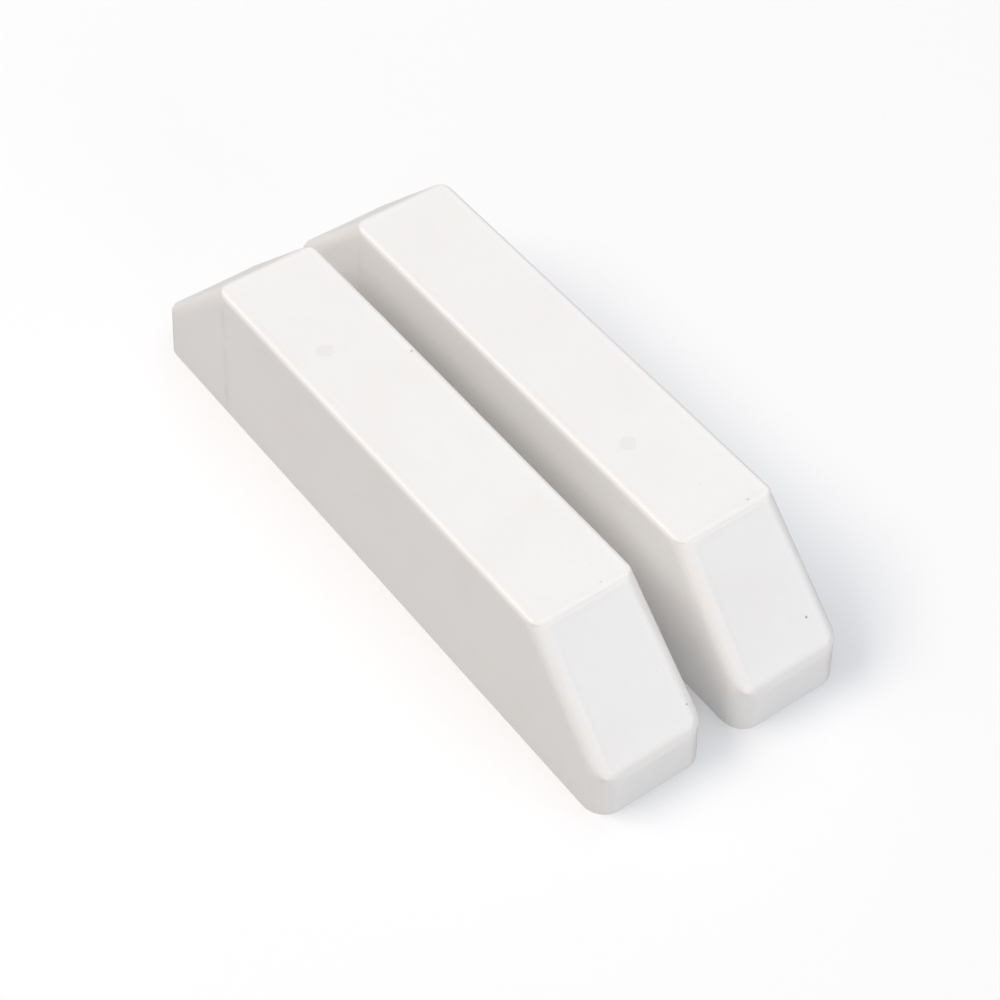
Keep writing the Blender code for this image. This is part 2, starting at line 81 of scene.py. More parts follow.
class Graph:
    """A node tree being wired, for a material or a node group."""

    def __init__(self, tree: Tree) -> None:
        """Starts wiring a tree.

        Args:
            tree: The tree that the nodes go in.
        """
        self.tree = tree

    def add(self, kind: str, inputs: dict[Union[str, int], SocketValue], **settings: object) -> Node:
        """Adds a node, sets it up and feeds its inputs.

        Args:
            kind: The node's type name.
            inputs: Socket names or numbers, each with a plain value or the socket that feeds it.
            **settings: The node's own properties.

        Returns:
            The new node.
        """
        made = self.tree.nodes.new(kind)
        for name, value in settings.items():
            setattr(made, name, value)
        for key, value in inputs.items():
            if isinstance(value, Socket):
                self.tree.links.new(value, made.inputs[key])
            else:
                made.inputs[key].default_value = value
        return made

    def maths(self, operation: str, first: SocketValue, second: SocketValue = 0.0) -> Socket:
        """A Math node's result.

        Args:
            operation: The sum that it does.
            first: Its first number.
            second: Its second number.

        Returns:
            The socket with the answer.
        """
        return self.add("ShaderNodeMath", {0: first, 1: second}, operation=operation).outputs[0]

    def mix(self, amount: SocketValue, first: SocketValue, second: SocketValue) -> Socket:
        """A colour between two others.

        Args:
            amount: How far the result lies towards the second colour.
            first: The colour at nought.
            second: The colour at one.

        Returns:
            The socket with the mixed colour.
        """
        ends = {6: first, 7: second}
        full = {key: end if isinstance(end, Socket) else (*end, 1.0) for key, end in ends.items()}
        return self.add("ShaderNodeMix", {"Factor": amount, **full}, data_type="RGBA").outputs[2]

    def spread(
        self, value: SocketValue, low: float, high: float, start: float = 0.0, end: float = 1.0
    ) -> Socket:
        """A value spread from one range to another, and held inside it.

        Args:
            value: The value that comes in.
            low: What comes out at the start of the range.
            high: What comes out at its end.
            start: The start of the range that comes in.
            end: The end of the range that comes in.

        Returns:
            The socket with the new value.
        """
        sockets = {"Value": value, "From Min": start, "From Max": end, "To Min": low, "To Max": high}
        return self.add("ShaderNodeMapRange", sockets).outputs["Result"]

    def noise(self, place: Socket, scale: SocketValue, detail: float) -> Socket:
        """A cloudy noise's value.

        Args:
            place: Where it's read.
            scale: How fine it is.
            detail: How many finer layers it has.

        Returns:
            The socket with the value.
        """
        return self.add("ShaderNodeTexNoise", {"Vector": place, "Scale": scale, "Detail": detail}).outputs[0]


class EffectLibrary:
    """Shader effects that several finishes share, each built once as a node group."""

    def _begin(
        self, name: str, inputs: dict[str, Union[float, Point]], outputs: Iterable[str]
    ) -> tuple[Graph, bpy.types.NodeOutputs, bpy.types.NodeInputs]:
        """Opens a new group with its sockets.

        Args:
            name: The group's name.
            inputs: Each input's name and starting value; a point makes a vector input.
            outputs: The names of its value outputs.

        Returns:
            The graph, its input node's outputs and its output node's inputs.
        """
        tree = bpy.data.node_groups.new(name, "ShaderNodeTree")
        for label, value in inputs.items():
            kind = "NodeSocketFloat" if isinstance(value, float) else "NodeSocketVector"
            socket = tree.interface.new_socket(label, in_out="INPUT", socket_type=kind)
            socket.default_value = value
        for label in outputs:
            tree.interface.new_socket(label, in_out="OUTPUT", socket_type="NodeSocketFloat")
        graph = Graph(tree)
        entry = graph.add("NodeGroupInput", {})
        leave = graph.add("NodeGroupOutput", {})
        return graph, entry.outputs, leave.inputs

    @cached_property
    def grain(self) -> Tree:
        """Soft clouds with a finer grain over them, as a value and as a height.

        Returns:
            The group, with Clouds, Grain and Height outputs.
        """
        graph, given, result = self._begin(
            "surface_grain",
            {"Vector": (0.0, 0.0, 0.0), "Cloud Scale": 120.0, "Grain Scale": 1500.0, "Grain Share": 0.4},
            ("Clouds", "Grain", "Height"),
        )
        clouds = graph.noise(given["Vector"], given["Cloud Scale"], 3.0)
        grain = graph.noise(given["Vector"], given["Grain Scale"], 2.0)
        share = graph.maths("MULTIPLY", grain, given["Grain Share"])
        height = graph.maths("ADD", clouds, share)
        for label, socket in (("Clouds", clouds), ("Grain", grain), ("Height", height)):
            graph.tree.links.new(socket, result[label])
        return graph.tree

    @cached_property
    def spot(self) -> Tree:
        """A round spot with a soft, slightly ragged rim.

        Returns:
            The group, with a Mask output.
        """
        graph, given, result = self._begin(
            "round_spot",
            {"Vector": (0.0, 0.0, 0.0), "Centre": (0.0, 0.0, 0.0), "Radius": 0.0005, "Softness": 0.0002},
            ("Mask",),
        )
        ends = {0: given["Vector"], 1: given["Centre"]}
        gap = graph.add("ShaderNodeVectorMath", ends, operation="DISTANCE")
        ragged = graph.noise(given["Vector"], 2500.0, 2.0)
        offset = graph.maths("SUBTRACT", ragged, 0.5)
        wander = graph.maths("MULTIPLY", offset, given["Radius"])
        reach = graph.maths("ADD", gap.outputs["Value"], wander)
        inner = graph.maths("SUBTRACT", given["Radius"], given["Softness"])
        outer = graph.maths("ADD", given["Radius"], given["Softness"])
        sockets = {"Value": reach, "From Min": inner, "From Max": outer, "To Min": 1.0, "To Max": 0.0}
        mask = graph.add("ShaderNodeMapRange", sockets, interpolation_type="SMOOTHSTEP")
        graph.tree.links.new(mask.outputs["Result"], result["Mask"])
        return graph.tree

    @cached_property
    def scratches(self) -> Tree:
        """Fine marks drawn out along X, as brushing, drawing and handling leave.

        Returns:
            The group, with a Mask output.
        """
        graph, given, result = self._begin(
            "drawn_marks", {"Vector": (0.0, 0.0, 0.0), "Scale": 3000.0, "Stretch": 0.06}, ("Mask",)
        )
        stretch = graph.add("ShaderNodeCombineXYZ", {0: given["Stretch"], 1: 1.0, 2: 1.0})
        factors = {0: given["Vector"], 1: stretch.outputs[0]}
        drawn = graph.add("ShaderNodeVectorMath", factors, operation="MULTIPLY")
        mask = graph.spread(graph.noise(drawn.outputs[0], given["Scale"], 4.0), 0.0, 1.0, 0.35, 0.68)
        graph.tree.links.new(mask, result["Mask"])
        return graph.tree


EFFECTS = EffectLibrary()


class Surface:
    """A material being built: its graph, its shader and its object coordinates."""

    def __init__(self, name: str) -> None:
        """Makes an empty Principled material.

        Args:
            name: The material's name.
        """
        self.material = bpy.data.materials.new(name)
        self.material.use_nodes = True
        self.graph = Graph(self.material.node_tree)
        self.shader = self.material.node_tree.nodes["Principled BSDF"]
        self.place = self.graph.add("ShaderNodeTexCoord", {}).outputs["Object"]

    def effect(self, group: Tree, inputs: dict[str, SocketValue]) -> Node:
        """Places a shared effect in this material, fed with the object coordinates.

        Args:
            group: The effect's node group.
            inputs: Its other values here.

        Returns:
            The group's node.
        """
        return self.graph.add("ShaderNodeGroup", {"Vector": self.place, **inputs}, node_tree=group)

    def grain(self, clouds: float, grain: float, share: float) -> Node:
        """Places the cloudy grain.

        Args:
            clouds: How fine its clouds are.
            grain: How fine its grain is.
            share: How much grain its height holds.

        Returns:
            The grain's node.
        """
        return self.effect(EFFECTS.grain, {"Cloud Scale": clouds, "Grain Scale": grain, "Grain Share": share})

    def marks(self, scale: float, stretch: float) -> Socket:
        """Places the drawn marks.

        Args:
            scale: How fine they are.
            stretch: How far they're drawn out; one leaves them round.

        Returns:
            The marks' mask.
        """
        return self.effect(EFFECTS.scratches, {"Scale": scale, "Stretch": stretch}).outputs["Mask"]

    def spot(self, centre: Point, radius: float, softness: float) -> Socket:
        """Places a round spot.

        Args:
            centre: Its middle.
            radius: Its radius.
            softness: How soft its rim is.

        Returns:
            The spot's mask.
        """
        values = {"Centre": centre, "Radius": radius, "Softness": softness}
        return self.effect(EFFECTS.spot, values).outputs["Mask"]

    def easing(self) -> Socket:
        """How eased, fused or ground the piece is, as its mesh says; on the covers it marks the rounded edges
        and creases that get painted shade.
        """
        return self.graph.add("ShaderNodeAttribute", {}, attribute_name="easing").outputs["Fac"]

    def plain(self, **values: Union[float, Colour]) -> None:
        """Sets shader sockets that are the same all over.

        Args:
            **values: Socket names, with underscores for spaces, and their values.
        """
        for label, value in values.items():
            self.shader.inputs[label.replace("_", " ")].default_value = value

    def feed(self, **sockets: Socket) -> None:
        """Feeds shader sockets that change over the surface.

        Args:
            **sockets: Socket names, with underscores for spaces, and what feeds them.
        """
        for label, socket in sockets.items():
            self.graph.tree.links.new(socket, self.shader.inputs[label.replace("_", " ")])

    def bump(self, height: Socket, distance: float, strength: float = 1.0) -> None:
        """Gives the surface a fine relief.

        Args:
            height: The relief, from nought to one.
            distance: How tall the relief is, in metres.
            strength: How much of it shows.
        """
        inputs = {"Height": height, "Distance": distance, "Strength": strength}
        self.feed(Normal=self.graph.add("ShaderNodeBump", inputs).outputs[0])


class Finish:
    """A finish with a name. Each kind wires its own nodes."""

    name: str

    def material(self) -> Material:
        """Builds the finish.

        Returns:
            The material.
        """
        surface = Surface(self.name)
        self.dress(surface)
        return surface.material

    def dress(self, surface: Surface) -> None:
        """Wires the finish's nodes.

        Args:
            surface: The material being built.
        """
        raise NotImplementedError


@dataclass(frozen=True)
class Speck:
    """A dark speck moulded into, or stuck on, the plastic."""

    centre: Point
    radius: float
    strength: float


@dataclass(frozen=True)
class CoverPlastic(Finish):
    """Glossy white moulded plastic, with soft mottling, specks, painted shade on its rounded edges and
    creases, and gate marks.
    """

    name: str = "cover_plastic"
    fresh: Colour = (0.930, 0.916, 0.897)
    aged: Colour = (0.905, 0.880, 0.850)
    # The edge colour is painted shade: rounded edges and creases are drawn darker and warmer than the faces.
    edge: Colour = (0.862, 0.834, 0.800)
    dirt: Colour = (0.16, 0.12, 0.09)
    gate_tint: Colour = (0.74, 0.73, 0.71)
    gate_radius: float = 0.72 * MM
    gate_softness: float = 0.12 * MM
    gates: tuple[Point, ...] = ()
    specks: tuple[Speck, ...] = ()

    def dress(self, surface: Surface) -> None:
        """Wires the finish.

        Args:
            surface: The material being built.
        """
        graph = surface.graph
        grain = surface.grain(130.0, 1400.0, 0.25)
        # The mask of rounded edges and creases where shade is painted.
        painted_edge_shade = surface.easing()
        colour = graph.mix(graph.spread(grain.outputs["Clouds"], 0.0, 0.6, 0.42, 0.72), self.fresh, self.aged)
        patch = surface.grain(420.0, 2600.0, 0.3)
        colour = graph.mix(graph.spread(patch.outputs["Clouds"], 0.0, 0.18, 0.4, 0.8), colour, self.aged)
        # Painted shade: the colour goes towards the darker, warmer edge colour on the rounded edges and
        # creases.
        colour = graph.mix(graph.spread(painted_edge_shade, 0.0, 0.6), colour, self.edge)
        for gate in self.gates:
            rim = surface.spot(gate, self.gate_radius, self.gate_softness)
            colour = graph.mix(graph.spread(rim, 0.0, 0.28), colour, self.gate_tint)
        for speck in self.specks:
            mark = surface.spot(speck.centre, speck.radius, speck.radius * 0.6)
            colour = graph.mix(graph.spread(mark, 0.0, speck.strength), colour, self.dirt)
        rough = graph.spread(grain.outputs["Height"], 0.29, 0.38, 0.4, 0.9)
        surface.feed(Base_Color=colour, Roughness=rough)
        surface.plain(
            IOR=1.49, Subsurface_Weight=0.15, Subsurface_Scale=1.0 * MM, Subsurface_Radius=(1.0, 0.6, 0.4)
        )
        surface.bump(grain.outputs["Clouds"], 0.02 * MM, 0.35)


@dataclass(frozen=True)
class MattePlastic(Finish):
    """The bases' plain moulded plastic, fine spark texture and all."""

    name: str = "base_plastic"
    light: Colour = (0.80, 0.785, 0.75)
    shade: Colour = (0.70, 0.68, 0.64)

    def dress(self, surface: Surface) -> None:
        """Wires the finish.

        Args:
            surface: The material being built.
        """
        graph = surface.graph
        grain = surface.grain(220.0, 5200.0, 0.7)
        marks = surface.marks(1600.0, 0.2)
        colour = graph.mix(graph.spread(grain.outputs["Height"], 0.0, 1.0, 0.5, 1.2), self.light, self.shade)
        rough = graph.maths(
            "SUBTRACT", graph.spread(grain.outputs["Clouds"], 0.48, 0.66), graph.spread(marks, 0.0, 0.06)
        )
        surface.feed(Base_Color=colour, Roughness=rough)
        surface.plain(IOR=1.5, Subsurface_Weight=0.06, Subsurface_Scale=0.4 * MM)
        surface.bump(grain.outputs["Height"], 0.02 * MM, 0.7)


@dataclass(frozen=True)
class WorkedMetal(Finish):
    """A drawn, stamped or turned metal: brushing marks, cloudy oxide and a fine grain."""

    name: str
    bright: Colour
    dull: Colour
    roughness: float
    mark_scale: float = 3000.0
    mark_stretch: float = 0.06
    oxide: float = 0.5
    relief: float = 0.006 * MM

    def dress(self, surface: Surface) -> None:
        """Wires the finish.

        Args:
            surface: The material being built.
        """
        graph = surface.graph
        grain = surface.grain(520.0, 6500.0, 0.5)
        marks = surface.marks(self.mark_scale, self.mark_stretch)
        cloudy = graph.spread(grain.outputs["Height"], 0.0, self.oxide, 0.5, 1.1)
        colour = graph.mix(cloudy, self.bright, self.dull)
        colour = graph.mix(graph.spread(marks, 0.0, 0.35), colour, self.bright)
        rough = graph.maths(
            "ADD",
            graph.spread(cloudy, self.roughness, self.roughness + 0.18),
            graph.spread(marks, 0.0, 0.1),
        )
        surface.feed(Base_Color=colour, Roughness=rough)
        surface.plain(Metallic=1.0)
        surface.bump(graph.maths("ADD", marks, grain.outputs["Grain"]), self.relief, 0.6)


@dataclass(frozen=True)
class GreenGlass(Finish):
    """The thin, slightly green infrared-sealed glass of the reed capsule."""

    name: str = "reed_glass"
    clear: Colour = (0.90, 0.97, 0.90)
    smoky: Colour = (0.72, 0.84, 0.72)

    def dress(self, surface: Surface) -> None:
        """Wires the finish.

        Args:
            surface: The material being built.
        """
        graph = surface.graph
        grain = surface.grain(700.0, 3600.0, 0.3)
        fused = surface.easing()
        tint = graph.mix(graph.spread(grain.outputs["Clouds"], 0.0, 0.3), self.clear, self.smoky)
        colour = graph.mix(fused, tint, self.smoky)
        surface.feed(Base_Color=colour, Roughness=graph.spread(grain.outputs["Height"], 0.02, 0.09, 0.5, 1.1))
        surface.plain(IOR=1.5, Transmission_Weight=0.92)
        surface.bump(grain.outputs["Clouds"], 0.008 * MM, 0.5)


@dataclass(frozen=True)
class Silicone(Finish):
    """The soft matte red sleeves that hold the glass in its trough."""

    name: str = "sleeve_rubber"
    light: Colour = (0.52, 0.13, 0.075)
    shade: Colour = (0.36, 0.075, 0.045)

    def dress(self, surface: Surface) -> None:
        """Wires the finish.

        Args:
            surface: The material being built.
        """
        graph = surface.graph
        grain = surface.grain(600.0, 5000.0, 0.6)
        colour = graph.mix(graph.spread(grain.outputs["Height"], 0.0, 1.0, 0.5, 1.1), self.light, self.shade)
        surface.feed(Base_Color=colour, Roughness=graph.spread(grain.outputs["Grain"], 0.55, 0.8))
        surface.plain(Subsurface_Weight=0.2, Subsurface_Scale=0.5 * MM)
        surface.bump(grain.outputs["Height"], 0.02 * MM, 0.7)


@dataclass(frozen=True)
class CastMagnet(Finish):
    """Dark cast magnet alloy: rough all round, with bright ground ends."""

    name: str = "magnet"
    cast: Colour = (0.16, 0.155, 0.15)
    burnt: Colour = (0.085, 0.075, 0.07)
    ground: Colour = (0.46, 0.45, 0.43)

    def dress(self, surface: Surface) -> None:
        """Wires the finish.

        Args:
            surface: The material being built.
        """
        graph = surface.graph
        grain = surface.grain(380.0, 3400.0, 1.0)
        ends = surface.easing()
        marks = surface.marks(2600.0, 1.0)
        skin = graph.mix(graph.spread(grain.outputs["Height"], 0.0, 1.0, 0.7, 1.3), self.cast, self.burnt)
        bright = graph.mix(graph.spread(marks, 0.0, 0.6), self.ground, self.cast)
        surface.feed(Base_Color=graph.mix(ends, skin, bright), Roughness=graph.spread(ends, 0.62, 0.34))
        surface.plain(Metallic=0.85)
        surface.bump(grain.outputs["Height"], 0.06 * MM, 0.8)


def block(low: Point, high: Point, edge: float = 0.0, segments: int = 3) -> BMesh:
    """A box between two corners.

    Args:
        low: Its lowest corner.
        high: Its highest corner.
        edge: The radius on its edges, if they're rounded.
        segments: How many facets each rounded edge has.

    Returns:
        The box's mesh.
    """
    bm = bmesh.new()
    bmesh.ops.create_cube(bm, size=1.0)
    bmesh.ops.scale(bm, vec=Vector(high) - Vector(low), verts=bm.verts)
    bmesh.ops.translate(bm, vec=(Vector(high) + Vector(low)) / 2, verts=bm.verts)
    if edge > 0:
        ease(bm, bm.edges[:], edge, segments)
    return bm


def ease(bm: BMesh, edges: list[Edge], width: float, segments: int = 3) -> None:
    """Rounds some edges of a mesh.

    Args:
        bm: The mesh.
        edges: The edges to round.
        width: How far back each face is cut.
        segments: How many facets each rounded edge has.
    """
    bmesh.ops.bevel(
        bm, geom=edges, offset=width, segments=segments, profile=0.5, affect="EDGES", material=-1
    )


def rod(
    radius: float, low: float, high: float, steps: int = 48, top: Optional[float] = None
) -> BMesh:
    """A round bar, or a cone, standing on Z.

    Args:
        radius: Its radius at the bottom.
        low: Where it starts.
        high: Where it ends.
        steps: How many sides it has.
        top: Its radius at the top, where that differs.

    Returns:
        The bar's mesh.
    """
    bm = bmesh.new()
    bmesh.ops.create_cone(
        bm, cap_ends=True, segments=steps, radius1=radius, radius2=radius if top is None else top,
        depth=high - low,
    )
    bmesh.ops.translate(bm, vec=(0, 0, (low + high) / 2), verts=bm.verts)
    return bm


def long_slot(length: float, width: float, low: float, high: float) -> BMesh:
    """A slot with round ends, standing on Z and drawn out along X.

    Args:
        length: Its whole length.
        width: Its width.
        low: Where it starts.
        high: Where it ends.

    Returns:
        The slot's mesh.
    """
    steps = 48
    bm = rod(width / 2, low, high, steps)
    turn = Matrix.Rotation(math.pi / steps, 3, "Z")
    bmesh.ops.rotate(bm, cent=(0, 0, 0), matrix=turn, verts=bm.verts)
    for vert in bm.verts:
        vert.co.x += math.copysign((length - width) / 2, vert.co.x)
    return bm


def drawn_outline(bm: BMesh, points: list[Point], closed: bool) -> None:
    """Draws a wire outline by pulling one vertex from point to point.

    Args:
        bm: The mesh that the outline goes in.
        points: The places that it passes.
        closed: Whether it runs back to where it started.
    """
    pen = bmesh.ops.create_vert(bm, co=points[0])["vert"][0]
    start = pen
    for here, there in zip(points, points[1:]):
        pen = bmesh.ops.extrude_vert_indiv(bm, verts=[pen])["verts"][0]
        bmesh.ops.translate(bm, vec=Vector(there) - Vector(here), verts=[pen])
    if closed:
        bmesh.ops.contextual_create(bm, geom=[pen, start])


def turned(outline: list[tuple[float, float]], steps: int = 48, closed: bool = False) -> BMesh:
    """A turned piece whose outline is spun about Z.

    Args:
        outline: Points of the outline, each a radius and a height.
        steps: How many sides it has.
        closed: Whether the outline is a closed ring, for a piece with a hole through it.

    Returns:
        The piece's mesh.
    """
    bm = bmesh.new()
    drawn_outline(bm, [(radius, 0.0, height) for radius, height in outline], closed)
    bmesh.ops.spin(
        bm, geom=bm.verts[:] + bm.edges[:], cent=(0, 0, 0), axis=(0, 0, 1), angle=2 * math.pi,
        steps=steps, use_merge=True,
    )
    bmesh.ops.remove_doubles(bm, verts=bm.verts, dist=0.0005 * MM)
    bmesh.ops.recalc_face_normals(bm, faces=bm.faces)
    return bm


def threaded(
    crest: float, root: float, low: float, high: float, pitch: float, steps: int = 32
) -> BMesh:
    """A threaded bar: one turn's outline wound up Z, then cut off square at both ends.

    Args:
        crest: The thread's outer radius.
        root: The thread's inner radius.
        low: Where the bar starts.
        high: Where it ends.
        pitch: How far the thread climbs in a turn.
        steps: How many facets a turn has.

    Returns:
        The bar's mesh.
    """
    bm = bmesh.new()
    start = low - 2 * pitch
    profile = [(root, 0.0), (root, 0.12), (crest, 0.44), (crest, 0.56), (root, 0.88), (root, 1.0)]
    drawn_outline(bm, [(radius, 0.0, start + share * pitch) for radius, share in profile], False)
    turns = math.ceil((high - low) / pitch) + 3
    bmesh.ops.spin(
        bm, geom=bm.verts[:] + bm.edges[:], cent=(0, 0, 0), axis=(0, 0, 1), angle=2 * math.pi * turns,
        dvec=(0, 0, pitch / steps), steps=steps * turns, use_duplicate=False,
    )
    bmesh.ops.remove_doubles(bm, verts=bm.verts, dist=0.0005 * MM)
    for height, way in ((low, -1), (high, 1)):
        sliced(bm, (0, 0, height), (0, 0, way), trim=True)
    bmesh.ops.recalc_face_normals(bm, faces=bm.faces)
    return bm


def held(value: float) -> float:
    """A number held between nought and one."""
    return min(1.0, max(0.0, value))


def smooth(value: float) -> float:
    """A number held between nought and one, and eased in and out."""
    share = held(value)
    return share * share * (3 - 2 * share)


def upright_edges(bm: BMesh, least: float) -> list[Edge]:
    """The edges that climb by more than a least height."""
    return [edge for edge in bm.edges if abs(edge.verts[0].co.z - edge.verts[1].co.z) > least]


def sliced(bm: BMesh, place: Point, normal: Point, trim: bool = False) -> None:
    """Cuts a mesh along a plane.

    Args:
        bm: The mesh.
        place: A point on the plane.
        normal: The way that the plane faces.
        trim: Whether what lies beyond the plane goes, and the hole is closed.
    """
    everything = bm.verts[:] + bm.edges[:] + bm.faces[:]
    cut = bmesh.ops.bisect_plane(bm, geom=everything, plane_co=place, plane_no=normal, clear_outer=trim)
    if trim:
        bmesh.ops.holes_fill(bm, edges=[item for item in cut["geom_cut"] if isinstance(item, Edge)])


def heading(axis: int) -> Vector:
    """The direction of an axis, by its number."""
    return Vector([1.0 if index == axis else 0.0 for index in range(3)])


def laid_along_x(bm: BMesh) -> BMesh:
    """Turns a mesh that stands on Z so that its top points along X.

    Args:
        bm: The mesh.

    Returns:
        The same mesh.
    """
    bmesh.ops.rotate(bm, cent=(0, 0, 0), matrix=Matrix.Rotation(math.pi / 2, 3, "Y"), verts=bm.verts)
    return bm


def moved(bm: BMesh, offset: Union[Point, Vector]) -> BMesh:
    """Shifts a mesh.

    Args:
        bm: The mesh.
        offset: How far it goes.

    Returns:
        The same mesh.
    """
    bmesh.ops.translate(bm, vec=Vector(offset), verts=bm.verts)
    return bm


def handed(bm: BMesh, side: Side) -> BMesh:
    """Mirrors a mesh across X if it's wanted for the low side.

    Args:
        bm: The mesh, made for the high side.
        side: The side that it's wanted for.

    Returns:
        The same mesh.
    """
    if side is Side.LOW:
        bmesh.ops.scale(bm, vec=(-1, 1, 1), verts=bm.verts)
        bmesh.ops.reverse_faces(bm, faces=bm.faces)
    return bm


def shown(name: str, data: bpy.types.ID) -> Object:
    """Puts a mesh, a light or a camera in the scene.

    Args:
        name: The new object's name.
        data: What it shows.

    Returns:
        The object.
    """
    item = bpy.data.objects.new(name, data)
    bpy.context.scene.collection.objects.link(item)
    return item


def kept(bm: BMesh, name: str = "working") -> bpy.types.Mesh:
    """Stores a mesh that was being worked on, and frees it.

    Args:
        bm: The mesh.
        name: The stored mesh's name.

    Returns:
        The stored mesh.
    """
    mesh = bpy.data.meshes.new(name)
    bm.to_mesh(mesh)
    bm.free()
    return mesh


def settled(item: Object) -> BMesh:
    """Applies a working object's modifiers and removes the object.

    Args:
        item: The working object.

    Returns:
        The mesh that the modifiers leave.
    """
    graph = bpy.context.evaluated_depsgraph_get()
    final = bpy.data.meshes.new_from_object(item.evaluated_get(graph))
    bm = bmesh.new()
    bm.from_mesh(final)
    bpy.data.objects.remove(item)
    bpy.data.meshes.remove(final)
    return bm


def combined(first: BMesh, tools: list[BMesh], operation: str) -> BMesh:
    """Joins other shapes to a mesh, or cuts them from it.

    Args:
        first: The mesh that is worked on.
        tools: The shapes to join or cut.
        operation: UNION or DIFFERENCE.

    Returns:
        The worked mesh.
    """
    item = shown("working", kept(first))
    helpers = [shown("working", kept(tool)) for tool in tools]
    for helper in helpers:
        step = item.modifiers.new("step", "BOOLEAN")
        step.operation = operation
        step.solver = "EXACT"
        step.object = helper
    bm = settled(item)
    for helper in helpers:
        bpy.data.objects.remove(helper)
    return bm


def crisped(bm: BMesh, width: float, segments: int = 2) -> BMesh:
    """Eases every hard edge of a worked mesh a little.

    Args:
        bm: The mesh.
        width: The radius.
        segments: How many facets each eased edge has.

    Returns:
        The eased mesh.
    """
    bmesh.ops.dissolve_limit(
        bm, angle_limit=math.radians(0.5), use_dissolve_boundaries=False, verts=bm.verts, edges=bm.edges
    )
    item = shown("working", kept(bm))
    step = item.modifiers.new("ease", "BEVEL")
    step.width = width
    step.segments = segments
    step.limit_method = "ANGLE"
    step.angle_limit = math.radians(35)
    step.use_clamp_overlap = True
    return settled(item)


def gathered(parts: Iterable[BMesh]) -> BMesh:
    """Puts several meshes into one.

    Args:
        parts: The meshes, which are freed.

    Returns:
        The one mesh.
    """
    whole = bmesh.new()
    for part in parts:
        mesh = kept(part)
        whole.from_mesh(mesh)
        bpy.data.meshes.remove(mesh)
    return whole


@dataclass(frozen=True)
class Part:
    """How a finished piece sits in the frame."""

    name: str
    body: str
    finish: str
    node: str
    facet_angle: float = 32.0


class Workshop:
    """Turns meshes into named, dressed pieces of the frame."""

    def __init__(self, finishes: dict[str, Finish]) -> None:
        """Builds every material once.

        Args:
            finishes: The finishes by their slot's name.
        """
        self._materials = {slot: finish.material() for slot, finish in finishes.items()}

    def deliver(
        self, part: Part, bm: BMesh, eased: Optional[Callable[[Vector], float]] = None
    ) -> None:
        """Finishes a piece: its mesh, shading, material and body, and hides the CAD node that it stands for.

        Args:
            part: The piece's place in the frame.
            bm: The piece's mesh, in the frame's coordinates.
            eased: How rubbed, fused or ground the piece is at a place, from nought to one.
        """
        mesh = kept(bm, part.name)
        if eased is not None and "easing" not in mesh.attributes:
            layer = mesh.attributes.new("easing", "FLOAT", "POINT")
            for index, vert in enumerate(mesh.vertices):
                layer.data[index].value = eased(vert.co)
        mesh.shade_smooth()
        mesh.set_sharp_from_angle(angle=math.radians(part.facet_angle))
        mesh.materials.append(self._materials[part.finish])
        item = shown(part.name, mesh)
        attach(item, part.body)
        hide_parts(part.node)
        LOG.info("%s: %d faces on %s", part.name, len(mesh.polygons), part.body)


@dataclass(frozen=True)
class Dent:
    """A small hollow in the top of a cover: a gate mark's ring, a pit or a nick in an edge."""

    place: tuple[float, float]
    reach: float
    depth: float
    ring: float = 0.0

    def depth_at(self, co: Vector) -> float:
        """How deep the hollow is at a place.

        Args:
            co: The place.

        Returns:
            The depth, in metres.
        """
        away = math.hypot(co.x - self.place[0], co.y - self.place[1])
        if self.ring > 0:
            groove = math.exp(-(((away - self.ring) / self.reach) ** 2))
            floor = 0.35 if away < self.ring else 0.0
            return self.depth * max(groove, floor)
        return self.depth * math.exp(-((away / self.reach) ** 2))


